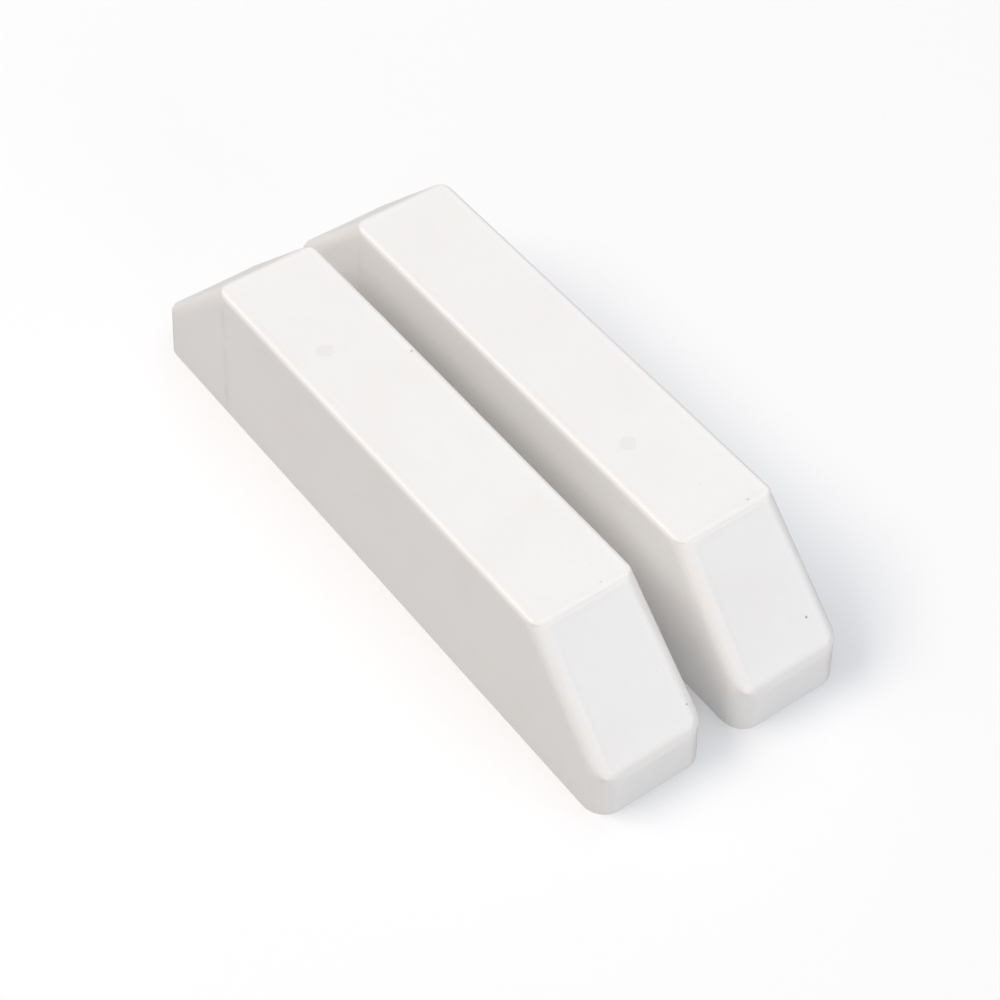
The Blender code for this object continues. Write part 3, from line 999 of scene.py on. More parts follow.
@dataclass
class CoverShell:
    """One clip-on cover: a drafted block with sloped ends, hollow from below."""

    part: Part
    dents: tuple[Dent, ...]
    seed: float
    end_height: float = 4.4 * MM
    slope_run: float = 9.5 * MM
    side_draft: float = 0.58 * MM
    end_draft: float = 0.28 * MM
    wall: float = 1.2 * MM
    corner_radius: float = 2.0 * MM
    top_edge: float = 0.5 * MM
    slope_edge: float = 1.25 * MM
    crest_cut: float = 0.4 * MM
    foot_cut: float = 0.75 * MM
    barrel: float = 0.2 * MM
    sink: float = 0.045 * MM
    panel_sink: float = 0.03 * MM
    panel_rim: float = 0.5 * MM
    ripple: float = 0.035 * MM
    slow_ripples: float = 110.0
    quick_ripples: float = 330.0
    quick_share: float = 0.35
    slope_panel: float = 1.3
    slope_facing: tuple[float, float] = (0.711, 0.703)
    slope_stretch: float = 1.41
    cut_share: float = 0.7
    flat_from: float = 0.995
    flat_fade: float = 0.05
    slice_step: float = 0.8 * MM

    def __post_init__(self) -> None:
        """Takes the cover's place and outside size from the frame, and brings its dents to its own middle."""
        low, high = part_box(self.part.node)
        self.middle = (low.y + high.y) / 2
        self.half_length = (high.x - low.x) / 2
        self.half_width = (high.y - low.y) / 2
        self.height = high.z
        self.dents = tuple(
            replace(dent, place=(dent.place[0], dent.place[1] - self.middle)) for dent in self.dents
        )
        top_half = self.half_width - self.side_draft
        crest = self.half_length - self.slope_run
        self.panel_side = top_half - self.top_edge
        self.panel_end = crest - self.crest_cut
        self.slope_side = top_half - self.slope_edge
        self.slope_start = crest + self.cut_share * self.crest_cut + self.panel_rim

    def _form(self, inset: float, segments: int) -> BMesh:
        """The rounded block, set in from the outside, at the origin.

        Args:
            inset: How far inside the cover's outer surface it lies.
            segments: How many facets its rounded edges have.

        Returns:
            The block's mesh, open below.
        """
        top = self.height - inset
        bm = bmesh.new()
        bmesh.ops.create_cube(bm, size=2.0)
        for vert in bm.verts:
            level = top if vert.co.z > 0 else 0.0
            share = level / self.height
            vert.co.x *= self.half_length - inset - self.end_draft * share
            vert.co.y *= self.half_width - inset - self.side_draft * share
            vert.co.z = level
        crest = Vector((self.half_length - self.slope_run, 0, self.height))
        foot_x = self.half_length - self.end_draft * self.end_height / self.height
        fall = Vector((foot_x, 0, self.end_height)) - crest
        for side in Side:
            normal = Vector((-fall.z * side.value, 0, fall.x)).normalized()
            sliced(bm, Vector((crest.x * side.value, 0, crest.z)) - normal * inset, normal, trim=True)
        return self._rounded(bm, inset, top, segments)

    def _rounded(self, bm: BMesh, inset: float, top: float, segments: int) -> BMesh:
        """Rounds the block's edges, each by its own radius, and opens its underside.

        Args:
            bm: The sharp block.
            inset: How far inside the cover's outer surface it lies.
            top: The height of its top.
            segments: How many facets its rounded edges have.

        Returns:
            The rounded block.
        """
        widest = max(self.corner_radius - inset, self.wall / 4)
        long_edge = max(self.top_edge - inset, self.wall / 6)
        slope_edge = max(self.slope_edge - inset, self.wall / 5)
        weights = bm.edges.layers.float.new("bevel_weight_edge")
        for edge in bm.edges:
            first, second = (vert.co for vert in edge.verts)
            across = abs(first.x - second.x) < TINY and abs(first.z - second.z) < TINY
            if max(first.z, second.z) < TINY:
                edge[weights] = 0.0
            elif across:
                cut = self.crest_cut if first.z > top - TINY else self.foot_cut
                edge[weights] = min(1.0, cut / self.corner_radius)
            elif min(first.z, second.z) > top - TINY:
                edge[weights] = long_edge / widest
            elif abs(first.x - second.x) > self.wall:
                edge[weights] = slope_edge / widest
            else:
                edge[weights] = 1.0
        item = shown("working", kept(bm))
        step = item.modifiers.new("rounding", "BEVEL")
        step.limit_method = "WEIGHT"
        step.width = widest
        step.segments = segments
        bm = settled(item)
        under = [face for face in bm.faces if all(vert.co.z < TINY for vert in face.verts)]
        bmesh.ops.delete(bm, geom=under, context="FACES")
        return bm

    def _bowed(self, bm: BMesh) -> None:
        """Draws both ends in a little, as the long walls bow out towards the middle.

        Args:
            bm: The block's mesh.
        """
        for vert in bm.verts:
            share = (vert.co.x / self.half_length) ** 2
            vert.co.y *= 1 - self.barrel * share / self.half_width

    def _sliced(self, bm: BMesh) -> None:
        """Cuts the big faces up finely enough to carry the moulding's unevenness.

        Args:
            bm: The block's mesh.
        """
        spans = ((0, self.half_length), (1, self.half_width), (2, self.height))
        for axis, reach in spans:
            start = 0.0 if axis == 2 else -reach
            count = round((reach - start) / self.slice_step)
            levels = [start + (reach - start) * index / count for index in range(1, count)]
            if axis != 2:
                rims = (self.panel_end, self.slope_start) if axis == 0 else (self.panel_side, self.slope_side)
                offsets = (0.0, -0.22 * MM, -0.5 * MM)
                levels += [side.value * (rim + offset) for rim in rims for offset in offsets for side in Side]
            for level in levels:
                sliced(bm, heading(axis) * level, heading(axis))

    def _panel(self, across: float, along: float) -> float:
        """How far into a sunken panel a place lies.

        Args:
            across: How far inside the panel's long sides it is.
            along: How far inside the panel's ends it is.

        Returns:
            Nought on the rim and one inside it.
        """
        return smooth(min(across, along) / self.panel_rim)

    def _refined(self, bm: BMesh, dent: Dent) -> None:
        """Cuts the faces around a dent finely.

        Args:
            bm: The block's mesh.
            dent: The dent.
        """
        reach = dent.ring + 2.2 * dent.reach
        step = dent.reach * (0.45 if dent.ring == 0 else 0.8)
        near = reach + self.slice_step
        count = math.ceil(2 * reach / step)
        for axis in (0, 1):
            normal = Vector((1, 0, 0)) if axis == 0 else Vector((0, 1, 0))
            for index in range(count + 1):
                place = dent.place[axis] - reach + 2 * reach * index / count
                faces = [
                    face for face in bm.faces
                    if (face.calc_center_median() - Vector((*dent.place, self.height))).length < near
                ]
                geometry = {item for face in faces for item in (*face.verts, *face.edges)}
                bmesh.ops.bisect_plane(
                    bm, geom=faces + list(geometry), plane_co=normal * place, plane_no=normal
                )

    def _settle_surface(self, bm: BMesh) -> None:
        """Sinks the surface inwards: broad sink marks, slow ripples and the dents.

        Args:
            bm: The block's mesh.
        """
        # The easing layer is one on rounded edges and creases and nought on flat faces; the cover's finish
        # paints shade there.
        easing = bm.verts.layers.float.new("easing")
        bm.normal_update()
        moves = []
        for vert in bm.verts:
            co, normal = vert.co, vert.normal
            sloping = abs(normal.x * self.slope_facing[0]) + normal.z * self.slope_facing[1]
            flat = max(abs(normal.x), abs(normal.y), abs(normal.z), sloping)
            vert[easing] = held((self.flat_from - flat) / self.flat_fade)
            slow = noise.noise(co * self.slow_ripples + Vector((self.seed, 0, 0)))
            quick = noise.noise(co * self.quick_ripples + Vector((0, self.seed, 0)))
            across = 1 - min(1.0, abs(co.y) / (self.half_width - self.corner_radius / 2)) ** 2
            along = 1 - min(1.0, abs(co.x) / (self.half_length - self.slope_run)) ** 4
            depth = self.ripple * (0.5 + 0.5 * slow) + self.ripple * self.quick_share * (0.5 + 0.5 * quick)
            if normal.z > 0.9:
                inside = self._panel(self.panel_side - abs(co.y), self.panel_end - abs(co.x))
                depth += self.sink * across * along + self.panel_sink * inside
                depth += sum(dent.depth_at(co) for dent in self.dents)
            elif normal.z > 0.3:
                foot = (co.z - self.end_height - self.cut_share * self.foot_cut) * self.slope_stretch
                crest = (self.height - self.cut_share * self.crest_cut - co.z) * self.slope_stretch
                widening = self.side_draft * (1 - co.z / self.height)
                inside = self._panel(self.slope_side + widening - abs(co.y), min(foot, crest))
                depth += self.sink * across + self.slope_panel * self.panel_sink * inside
                depth += sum(dent.depth_at(co) for dent in self.dents)
            elif abs(normal.y) > 0.9:
                rise = 1 - abs(2 * co.z / self.height - 1) ** 2
                depth += self.sink * rise * along
            moves.append((vert, -normal * depth))
        for vert, move in moves:
            if vert.co.z < TINY:
                move.z = 0.0
            vert.co += move

    def build(self, shop: Workshop) -> None:
        """Makes the cover.

        Args:
            shop: Where it's finished.
        """
        outside = self._form(0.0, 8)
        self._bowed(outside)
        self._sliced(outside)
        for dent in self.dents:
            self._refined(outside, dent)
        self._settle_surface(outside)
        inside = self._form(self.wall, 3)
        self._bowed(inside)
        bmesh.ops.reverse_faces(inside, faces=inside.faces)
        whole = gathered((outside, inside))
        rims = [edge for edge in whole.edges if edge.is_boundary]
        bmesh.ops.bridge_loops(whole, edges=rims)
        shop.deliver(self.part, moved(whole, (0, self.middle, 0)))


def span(node: str) -> tuple[Vector, Vector, Vector]:
    """Where a CAD node is.

    Args:
        node: The node's name.

    Returns:
        Its lowest corner, its highest corner and its middle.
    """
    low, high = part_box(node)
    return low, high, (low + high) / 2


@dataclass
class Base:
    """A moulded base plate with crush ribs, fixing slots and what stands on it."""

    part: Part
    thickness: float = 2.0 * MM
    corner: float = 0.9 * MM
    rib_radius: float = 0.5 * MM
    rib_stand: float = 0.15 * MM
    rib_inset: float = 7.0 * MM
    slot_place: float = 26.3 * MM
    slot_length: float = 5.2 * MM
    slot_width: float = 3.4 * MM
    witness_radius: float = 0.95 * MM
    witness_depth: float = 0.07 * MM
    witness_places: tuple[float, ...] = ()
    bury: float = 1.0 * MM
    eased: float = 0.13 * MM

    def __post_init__(self) -> None:
        """Takes the plate's place from the frame."""
        self.low, self.high, self.centre = span(self.part.node)
        self.half_length = (self.high.x - self.low.x) / 2
        self.half_width = (self.high.y - self.low.y) / 2 - self.rib_stand

    def _plate(self) -> BMesh:
        """The plate itself, at the origin."""
        bm = block(
            (-self.half_length, -self.half_width, 0), (self.half_length, self.half_width, self.thickness)
        )
        ease(bm, upright_edges(bm, self.bury), self.corner, 6)
        return bm

    def _ribs(self) -> list[BMesh]:
        """The six crush ribs that grip the cover."""
        row = self.half_width + self.rib_stand - self.rib_radius
        reach = self.half_length - self.rib_inset
        top = self.thickness - 0.3 * MM
        return [
            moved(rod(self.rib_radius, 0.3 * MM, top, 24), (along, side.value * row, 0))
            for along in (-reach, 0.0, reach)
            for side in Side
        ]

    def _cuts(self) -> list[BMesh]:
        """The fixing slots and the ejector pins' witness marks."""
        over = self.thickness + self.bury
        slots = [
            moved(
                long_slot(self.slot_length, self.slot_width, -self.bury, over),
                (side.value * self.slot_place, 0, 0),
            )
            for side in Side
        ]
        marks = [
            moved(rod(self.witness_radius, self.thickness - self.witness_depth, over, 32), (place, 0, 0))
            for place in self.witness_places
        ]
        return slots + marks

    def _fittings(self) -> list[BMesh]:
        """What stands on the plate. Each kind of base adds its own."""
        return []

    def build(self, shop: Workshop) -> None:
        """Makes the base.

        Args:
            shop: Where it's finished.
        """
        bm = combined(self._plate(), self._ribs() + self._fittings(), "UNION")
        bm = crisped(combined(bm, self._cuts(), "DIFFERENCE"), self.eased)
        shop.deliver(self.part, moved(bm, (self.centre.x, self.centre.y, 0)))


@dataclass
class SwitchBase(Base):
    """The switch unit's base: two terminal bosses with nut pockets, and the reed's trough."""

    boss_wall: float = 0.6 * MM
    trough_wall: float = 0.8 * MM
    trough_reach: float = 7.5 * MM
    trough_top: float = 4.675 * MM
    bore_radius: float = 1.75 * MM
    room: float = 0.3 * MM

    def _fittings(self) -> list[BMesh]:
        """The bosses and the trough's walls."""
        nut_low, nut_high, nut_centre = span("terminal_nut_2")
        grow = self.boss_wall + self.room
        half = (nut_high - nut_low) / 2 + Vector((grow, grow, 0))
        _, sleeve_high, sleeve_centre = span("reed_sleeve_1")
        inner = sleeve_high.y - sleeve_centre.y + self.room
        shapes = []
        for side in Side:
            middle = nut_centre.x * side.value
            shapes.append(
                block((middle - half.x, -half.y, self.bury), (middle + half.x, half.y, self.high.z))
            )
            near, far = sorted((inner * side.value, (inner + self.trough_wall) * side.value))
            shapes.append(
                block((-self.trough_reach, near, self.bury), (self.trough_reach, far, self.trough_top))
            )
        return shapes

    def _cuts(self) -> list[BMesh]:
        """The slots, the nut pockets and the screws' bores."""
        nut_low, nut_high, nut_centre = span("terminal_nut_2")
        screw_low, _, _ = span("terminal_screw_2")
        half = (nut_high - nut_low) / 2 + Vector((self.room, self.room, 0))
        shapes = super()._cuts()
        for side in Side:
            middle = nut_centre.x * side.value
            floor = nut_low.z - self.room
            over = self.high.z + self.bury
            shapes.append(block((middle - half.x, -half.y, floor), (middle + half.x, half.y, over)))
            bore = rod(self.bore_radius, screw_low.z - self.room, floor + self.bury)
            shapes.append(moved(bore, (middle, 0, 0)))
        return shapes


@dataclass
class MagnetBase(Base):
    """The magnet unit's base: a cradle with a hooked catch over each end of the magnet."""

    cradle_wall: float = 0.8 * MM
    cradle_top: float = 5.6 * MM
    catch_width: float = 4.0 * MM
    catch_length: float = 1.0 * MM
    catch_reach: float = 0.8 * MM
    room: float = 0.3 * MM

    def _fittings(self) -> list[BMesh]:
        """The cradle's walls and the two catches."""
        low, high, centre = span("bar_magnet")
        end = high.x + self.room
        inner = high.y - centre.y + self.room
        under = high.z + self.room
        shapes = []
        for side in Side:
            near, far = sorted((inner * side.value, (inner + self.cradle_wall) * side.value))
            shapes.append(block((-end, near, self.bury), (end, far, self.cradle_top)))
            wide, top = self.catch_width / 2, self.high.z
            stem = block((end, -wide, self.bury), (end + self.catch_length, wide, top))
            hook = block((end - self.catch_reach, -wide, under), (end + self.catch_length / 2, wide, top))
            lead = [
                edge for edge in hook.edges
                if all(vert.co.z > under + 0.1 * MM and vert.co.x < end for vert in edge.verts)
            ]
            ease(hook, lead, 0.55 * MM, 1)
            shapes += [handed(stem, side), handed(hook, side)]
        return shapes


@dataclass
class Terminal:
    """A trapped nut, a bent plate with its solder tab, a clamp washer and a screw."""

    number: int
    side: Side
    screw_radius: float = 1.45 * MM
    screw_root: float = 1.19 * MM
    pitch: float = 0.5 * MM
    nut_crest: float = 1.5 * MM
    nut_root: float = 1.62 * MM
    bore_radius: float = 1.75 * MM
    plate_thickness: float = 0.6 * MM
    plate_corner: float = 0.35 * MM
    washer_corner: float = 0.5 * MM
    groove: float = 0.14 * MM
    bend_radius: float = 0.2 * MM
    tab_width: float = 3.2 * MM
    eye_radius: float = 0.4 * MM
    head_radius: float = 2.7 * MM
    head_height: float = 1.9 * MM
    recess_length: float = 3.0 * MM
    recess_width: float = 0.7 * MM
    recess_depth: float = 1.1 * MM

    def _part(self, kind: str, body: str, finish: str) -> Part:
        """The place in the frame of one of the terminal's pieces."""
        node = f"{kind}_{self.number}"
        return Part(f"{node}_shaped", body, finish, node)

    def _nut(self, shop: Workshop) -> None:
        """The square nut, tapped through.

        Args:
            shop: Where it's finished.
        """
        part = self._part("terminal_nut", "switch_unit", "brass")
        low, high, centre = span(part.node)
        half = (high - low) / 2
        bm = block((-half.x, -half.y, low.z), (half.x, half.y, high.z), 0.16 * MM, 2)
        over = self.pitch
        tap = threaded(self.nut_root, self.nut_crest, low.z - over, high.z + over, self.pitch, 24)
        top = self.nut_root + 0.5 * MM
        mouth = rod(self.nut_root + 0.25 * MM, high.z - 0.3 * MM, high.z + 0.01 * MM, top=top)
        bm = combined(bm, [tap, mouth], "DIFFERENCE")
        shop.deliver(part, moved(bm, (centre.x, centre.y, 0)))

    def _plate(self, shop: Workshop) -> None:
        """The stamped plate, bent down into the solder tab.

        Args:
            shop: Where it's finished.
        """
        part = self._part("terminal_plate", "switch_unit", "brass")
        low, high, centre = span(part.node)
        _, _, screw = span(f"terminal_screw_{self.number}")
        _, _, lead = span("reed_glass")
        inner = min(abs(low.x), abs(high.x))
        outer = max(abs(low.x), abs(high.x))
        half_width = (high.y - low.y) / 2
        thick = self.plate_thickness
        start = inner + thick + self.bend_radius
        under = high.z - thick
        flat = block((start, -half_width, under), (outer, half_width, high.z))
        ease(flat, upright_edges(flat, thick / 2), self.plate_corner, 4)
        strip = bmesh.new()
        bmesh.ops.create_grid(strip, x_segments=1, y_segments=1, size=0.5)
        bmesh.ops.scale(strip, vec=(thick, self.tab_width, 1), verts=strip.verts)
        laid_along_x(strip)
        moved(strip, (start, 0, under + thick / 2))
        bend = bmesh.ops.spin(
            strip, geom=strip.faces[:] + strip.edges[:] + strip.verts[:],
            cent=(start, 0, under - self.bend_radius), axis=(0, -1, 0), angle=math.pi / 2, steps=8,
            use_merge=False,
        )
        last = [item for item in bend["geom_last"] if isinstance(item, bmesh.types.BMFace)]
        drop = bmesh.ops.extrude_face_region(strip, geom=last)
        foot = [item for item in drop["geom"] if isinstance(item, bmesh.types.BMVert)]
        bmesh.ops.delete(strip, geom=last, context="FACES_ONLY")
        bmesh.ops.translate(strip, vec=(0, 0, low.z - (under - self.bend_radius)), verts=foot)
        bmesh.ops.translate(
            strip, vec=(0.05 * MM, 0, 0), verts=[vert for vert in strip.verts if vert.co.x > start - HAIR]
        )
        bmesh.ops.recalc_face_normals(strip, faces=strip.faces)
        bm = combined(flat, [strip], "UNION")
        bore = moved(rod(self.bore_radius, under - thick, high.z + thick), (abs(screw.x), 0, 0))
        eye = laid_along_x(rod(self.eye_radius, inner - thick, inner + 2 * thick, 32))
        moved(eye, (0, 0, lead.z))
        bm = crisped(combined(bm, [bore, eye], "DIFFERENCE"), 0.07 * MM)
        shop.deliver(part, moved(handed(bm, self.side), (0, centre.y, 0)))

    def _washer(self, shop: Workshop) -> None:
        """The square clamp washer, with gripping grooves pressed into its underside.

        Args:
            shop: Where it's finished.
        """
        part = self._part("clamp_washer", f"clamp_{self.number}", "plated_steel")
        low, high, centre = span(part.node)
        half = (high - low) / 2
        bm = block((-half.x, -half.y, low.z), (half.x, half.y, high.z))
        ease(bm, upright_edges(bm, half.z), self.washer_corner, 4)
        groove = self.groove
        tools = [rod(self.bore_radius, low.z - half.z, high.z + half.z)]
        for share in (-0.78, -0.62, 0.62, 0.78):
            place = share * half.x
            near = (place - groove, -half.y - groove, low.z - groove)
            tools.append(block(near, (place + groove, half.y + groove, low.z + groove)))
        bm = crisped(combined(bm, tools, "DIFFERENCE"), 0.07 * MM)
        shop.deliver(part, moved(bm, (centre.x, centre.y, 0)))

    def _screw(self, shop: Workshop) -> None:
        """The terminal screw: a domed head with a cross recess over a cut thread.

        Args:
            shop: Where it's finished.
        """
        part = self._part("terminal_screw", f"screw_{self.number}", "plated_steel")
        low, high, centre = span(part.node)
        under = high.z - self.head_height
        dome = [
            (self.head_radius * (1 - 0.32 * share**2), high.z - 0.42 * MM * (1 - share) ** 2)
            for share in (0.0, 0.2, 0.4, 0.6, 0.8, 1.0)
        ]
        outline = [(0.0, under), (self.head_radius - 0.12 * MM, under), (self.head_radius, under + 0.12 * MM)]
        head = turned(outline + dome + [(0.0, high.z)], 64)
        arms = []
        half_long, half_wide = self.recess_length / 2, self.recess_width / 2
        for x, y in ((half_long, half_wide), (half_wide, half_long)):
            arm = block((-x, -y, high.z - self.recess_depth), (x, y, high.z + 0.4 * MM))
            for vert in arm.verts:
                if vert.co.z < high.z:
                    vert.co.x *= 0.6
                    vert.co.y *= 0.6
            arms.append(arm)
        head = crisped(combined(head, arms, "DIFFERENCE"), 0.04 * MM)
        shank = threaded(self.screw_radius, self.screw_root, low.z, under + 0.1 * MM, self.pitch)
        for vert in shank.verts:
            share = max(0.0, 1 - (vert.co.z - low.z) / (1.2 * self.pitch))
            vert.co.x *= 1 - 0.22 * share
            vert.co.y *= 1 - 0.22 * share
        shop.deliver(part, moved(gathered((head, shank)), (centre.x, centre.y, 0)))

    def build(self, shop: Workshop) -> None:
        """Makes the terminal's four pieces.

        Args:
            shop: Where they're finished.
        """
        self._nut(shop)
        self._plate(shop)
        self._washer(shop)
        self._screw(shop)


@dataclass
class ReedSwitch:
    """The glass capsule, its two reeds, its sleeves and its soldered ends."""

    lead_radius: float = 0.25 * MM
    blade_width: float = 1.1 * MM
    blade_thickness: float = 0.25 * MM
    blade_shift: float = 0.2 * MM
    slice_step: float = 0.3 * MM
    rib_depth: float = 0.055 * MM
    sleeve_edge: float = 0.16 * MM
    squeeze_start: float = 5.75 * MM
    squeeze_end: float = 4.95 * MM
    dome: float = 0.9 * MM
    glass_wall: float = 0.3 * MM
    seal: float = 1.0 * MM

    def __post_init__(self) -> None:
        """Takes the capsule's line from the frame."""
        self.low, self.high, self.centre = span("reed_glass")

    def _placed(self, bm: BMesh) -> BMesh:
        """Lays a piece that was made upright along the capsule's line."""
        return moved(laid_along_x(bm), (0, self.centre.y, self.centre.z))

    def _glass(self, shop: Workshop) -> None:
        """The capsule: a tube drawn in and fused round each lead.

        Args:
            shop: Where it's finished.
        """
        end = self.high.x
        outer = (self.high.z - self.low.z) / 2
        throat = self.lead_radius + 0.01 * MM
        inner = outer - self.glass_wall
        seal = end - self.seal
        angles = [math.radians(step) for step in range(0, 80, 8)]
        outside = [(outer * math.cos(a), end - self.dome + self.dome * math.sin(a)) for a in angles]
        outside = [point for point in outside if point[0] > throat] + [(throat, end)]
        inside = [(inner * math.cos(a), seal - self.dome + self.dome * math.sin(a)) for a in angles]
        inside = [point for point in inside if point[0] > throat] + [(throat, seal)]
        half = outside + inside[::-1]
        outline = half + [(radius, -height) for radius, height in half[::-1]]
        bm = turned(outline, 48, closed=True)
        part = Part("reed_glass_capsule", "switch_unit", "reed_glass", "reed_glass", 60.0)
        fused = end - self.seal
        shop.deliver(part, self._placed(bm), lambda co: held((abs(co.x) - fused) / self.seal))

    def _reed(self, start: float, end: float, shift: float) -> BMesh:
        """A reed lying along X, pressed flat inside the capsule.

        Args:
            start: The end inside the capsule; negative past the middle.
            end: The outer end.
            shift: How far the flat blade lies above the lead's line.

        Returns:
            The reed's mesh, at the capsule's middle.
        """
        bm = rod(self.lead_radius, start, end, 20)
        steps = max(8, round((end - start) / self.slice_step))
        for index in range(1, steps):
            level = start + (end - start) * index / steps
            sliced(bm, (0, 0, level), (0, 0, 1))
        rims = [
            edge for place in (start, end) for edge in bm.edges
            if all(abs(vert.co.z - place) < HAIR for vert in edge.verts)
        ]
        ease(bm, rims, 0.05 * MM, 2)
        laid_along_x(bm)
        wide = self.blade_width / 2 / self.lead_radius
        thin = self.blade_thickness / 2 / self.lead_radius
        for vert in bm.verts:
            share = smooth((self.squeeze_start - vert.co.x) / (self.squeeze_start - self.squeeze_end))
            squared = math.copysign(min(1.0, abs(vert.co.y / self.lead_radius) ** 0.7), vert.co.y)
            vert.co.y = vert.co.y * (1 - share) + squared * self.lead_radius * wide * share
            flat = math.copysign(min(1.0, abs(vert.co.z / self.lead_radius) ** 0.35), vert.co.z)
            vert.co.z = vert.co.z * (1 - share) + flat * self.lead_radius * thin * share + shift * share
        return bm

    def _reeds(self, shop: Workshop) -> None:
        """The fixed reed, the moving reed's lead and its free blade.

        Args:
            shop: Where it's finished.
        """
        for node, name, body, side in (
            ("reed_lead_fixed", "reed_fixed_shaped", "switch_unit", Side.HIGH),
            ("reed_lead_moving", "reed_lead_shaped", "switch_unit", Side.LOW),
            ("reed_blade_moving", "reed_blade_shaped", "reed_armature", Side.LOW),
        ):
            low, high, _ = span(node)
            start, end = (low.x, high.x) if side is Side.HIGH else (-high.x, -low.x)
            bm = handed(self._reed(start, end, -side.value * self.blade_shift), side)
            part = Part(name, body, "reed_alloy", node, SOFT_FACETS)
            shop.deliver(part, moved(bm, (0, self.centre.y, self.centre.z)))

    def _sleeve(self, shop: Workshop, number: int) -> None:
        """A soft sleeve, ribbed where it sits in the trough.

        Args:
            shop: Where it's finished.
            number: Which sleeve it is.
        """
        low, high, centre = span(f"reed_sleeve_{number}")
        outer = (high.z - low.z) / 2
        bore = (self.high.z - self.low.z) / 2 + 0.02 * MM
        half = (high.x - low.x) / 2
        soft = self.sleeve_edge
        outline = [(bore + soft, -half), (outer - soft, -half)]
        for index in range(25):
            height = -half + soft / 2 + (2 * half - soft) * index / 24
            outline.append((outer - self.rib_depth * (1 - math.cos(index / 24 * 6 * math.pi)), height))
        outline += [(outer - soft, half), (bore + soft, half), (bore, half - soft), (bore, -half + soft)]
        bm = moved(turned(outline, 48, closed=True), (0, 0, centre.x))
        node = f"reed_sleeve_{number}"
        part = Part(f"{node}_moulded", "switch_unit", "sleeve_rubber", node, SOFT_FACETS)
        shop.deliver(part, self._placed(bm))

    def _solder(self, shop: Workshop, number: int, side: Side) -> None:
        """A solder fillet that climbs the lead from the tab.

        Args:
            shop: Where it's finished.
            number: Which joint it is.
            side: Which end of the capsule it's at.
        """
        low, high, _ = span(f"solder_joint_{number}")
        tab_low, tab_high, _ = span(f"terminal_plate_{number}")
        outer = (high.z - low.z) / 2
        throat = self.lead_radius + 0.005 * MM
        start = min(abs(low.x), abs(high.x)) - 0.3 * MM
        end = min(abs(tab_low.x), abs(tab_high.x)) - 0.005 * MM
        curve = [
            (throat + (outer - throat) * (share / 10) ** 2.2, start + (end - start) * share / 10)
            for share in range(11)
        ]
        bm = turned([(throat, end)] + curve[::-1], 40, closed=True)
        for vert in bm.verts:
            swell = 1 + 0.07 * noise.noise(vert.co * 900 + Vector((number, 0, 0)))
            if math.hypot(vert.co.x, vert.co.y) > throat * 1.2:
                vert.co.x *= swell
                vert.co.y *= swell
        bm = handed(laid_along_x(bm), side)
        part = Part(f"solder_fillet_{number}", "switch_unit", "solder", f"solder_joint_{number}", 60.0)
        shop.deliver(part, moved(bm, (0, self.centre.y, self.centre.z)))

    def build(self, shop: Workshop) -> None:
        """Makes the switch's eight pieces.

        Args:
            shop: Where they're finished.
        """
        self._glass(shop)
        self._reeds(shop)
        for number, side in ((1, Side.LOW), (2, Side.HIGH)):
            self._sleeve(shop, number)
            self._solder(shop, number, side)


@dataclass
class BarMagnet:
    """The cast bar magnet, rough along its length and ground at both ends."""

    edge: float = 0.4 * MM
    slice_step: float = 0.5 * MM
    rough: float = 0.035 * MM

    def build(self, shop: Workshop) -> None:
        """Makes the magnet.

        Args:
            shop: Where it's finished.
        """
        low, high, centre = span("bar_magnet")
        bm = block(tuple(low - centre), tuple(high - centre), self.edge, 4)
        reach = (high - low) / 2
        for axis in range(3):
            count = round(2 * reach[axis] / self.slice_step)
            for index in range(1, count):
                sliced(bm, heading(axis) * (reach[axis] * (2 * index / count - 1)), heading(axis))
        bm.normal_update()
        ground = reach.x - 0.05 * MM
        for vert in bm.verts:
            if abs(vert.co.x) < ground:
                pit = noise.noise(vert.co * 900) + 0.6 * noise.noise(vert.co * 260)
                vert.co -= vert.normal * self.rough * (0.8 + 0.5 * pit)
        part = Part("bar_magnet_cast", "magnet_unit", "magnet", "bar_magnet", SOFT_FACETS)
        far = high.x - 0.06 * MM
        shop.deliver(part, moved(bm, centre), lambda co: 1.0 if abs(co.x) > far else 0.0)


@dataclass(frozen=True)
class SoftBox:
    """A soft rectangular light."""

    name: str
    place: Point
    aim: Point
    size: tuple[float, float]
    power: float
    colour: Colour = (1.0, 1.0, 1.0)

    def build(self) -> None:
        """Makes the light."""
        data = bpy.data.lights.new(self.name, "AREA")
        data.shape = "RECTANGLE"
        data.size, data.size_y = self.size
        data.energy = self.power
        data.color = self.colour
        lamp = shown(self.name, data)
        lamp.location = self.place
        lamp.rotation_euler = (Vector(self.aim) - Vector(self.place)).to_track_quat("-Z", "Y").to_euler()


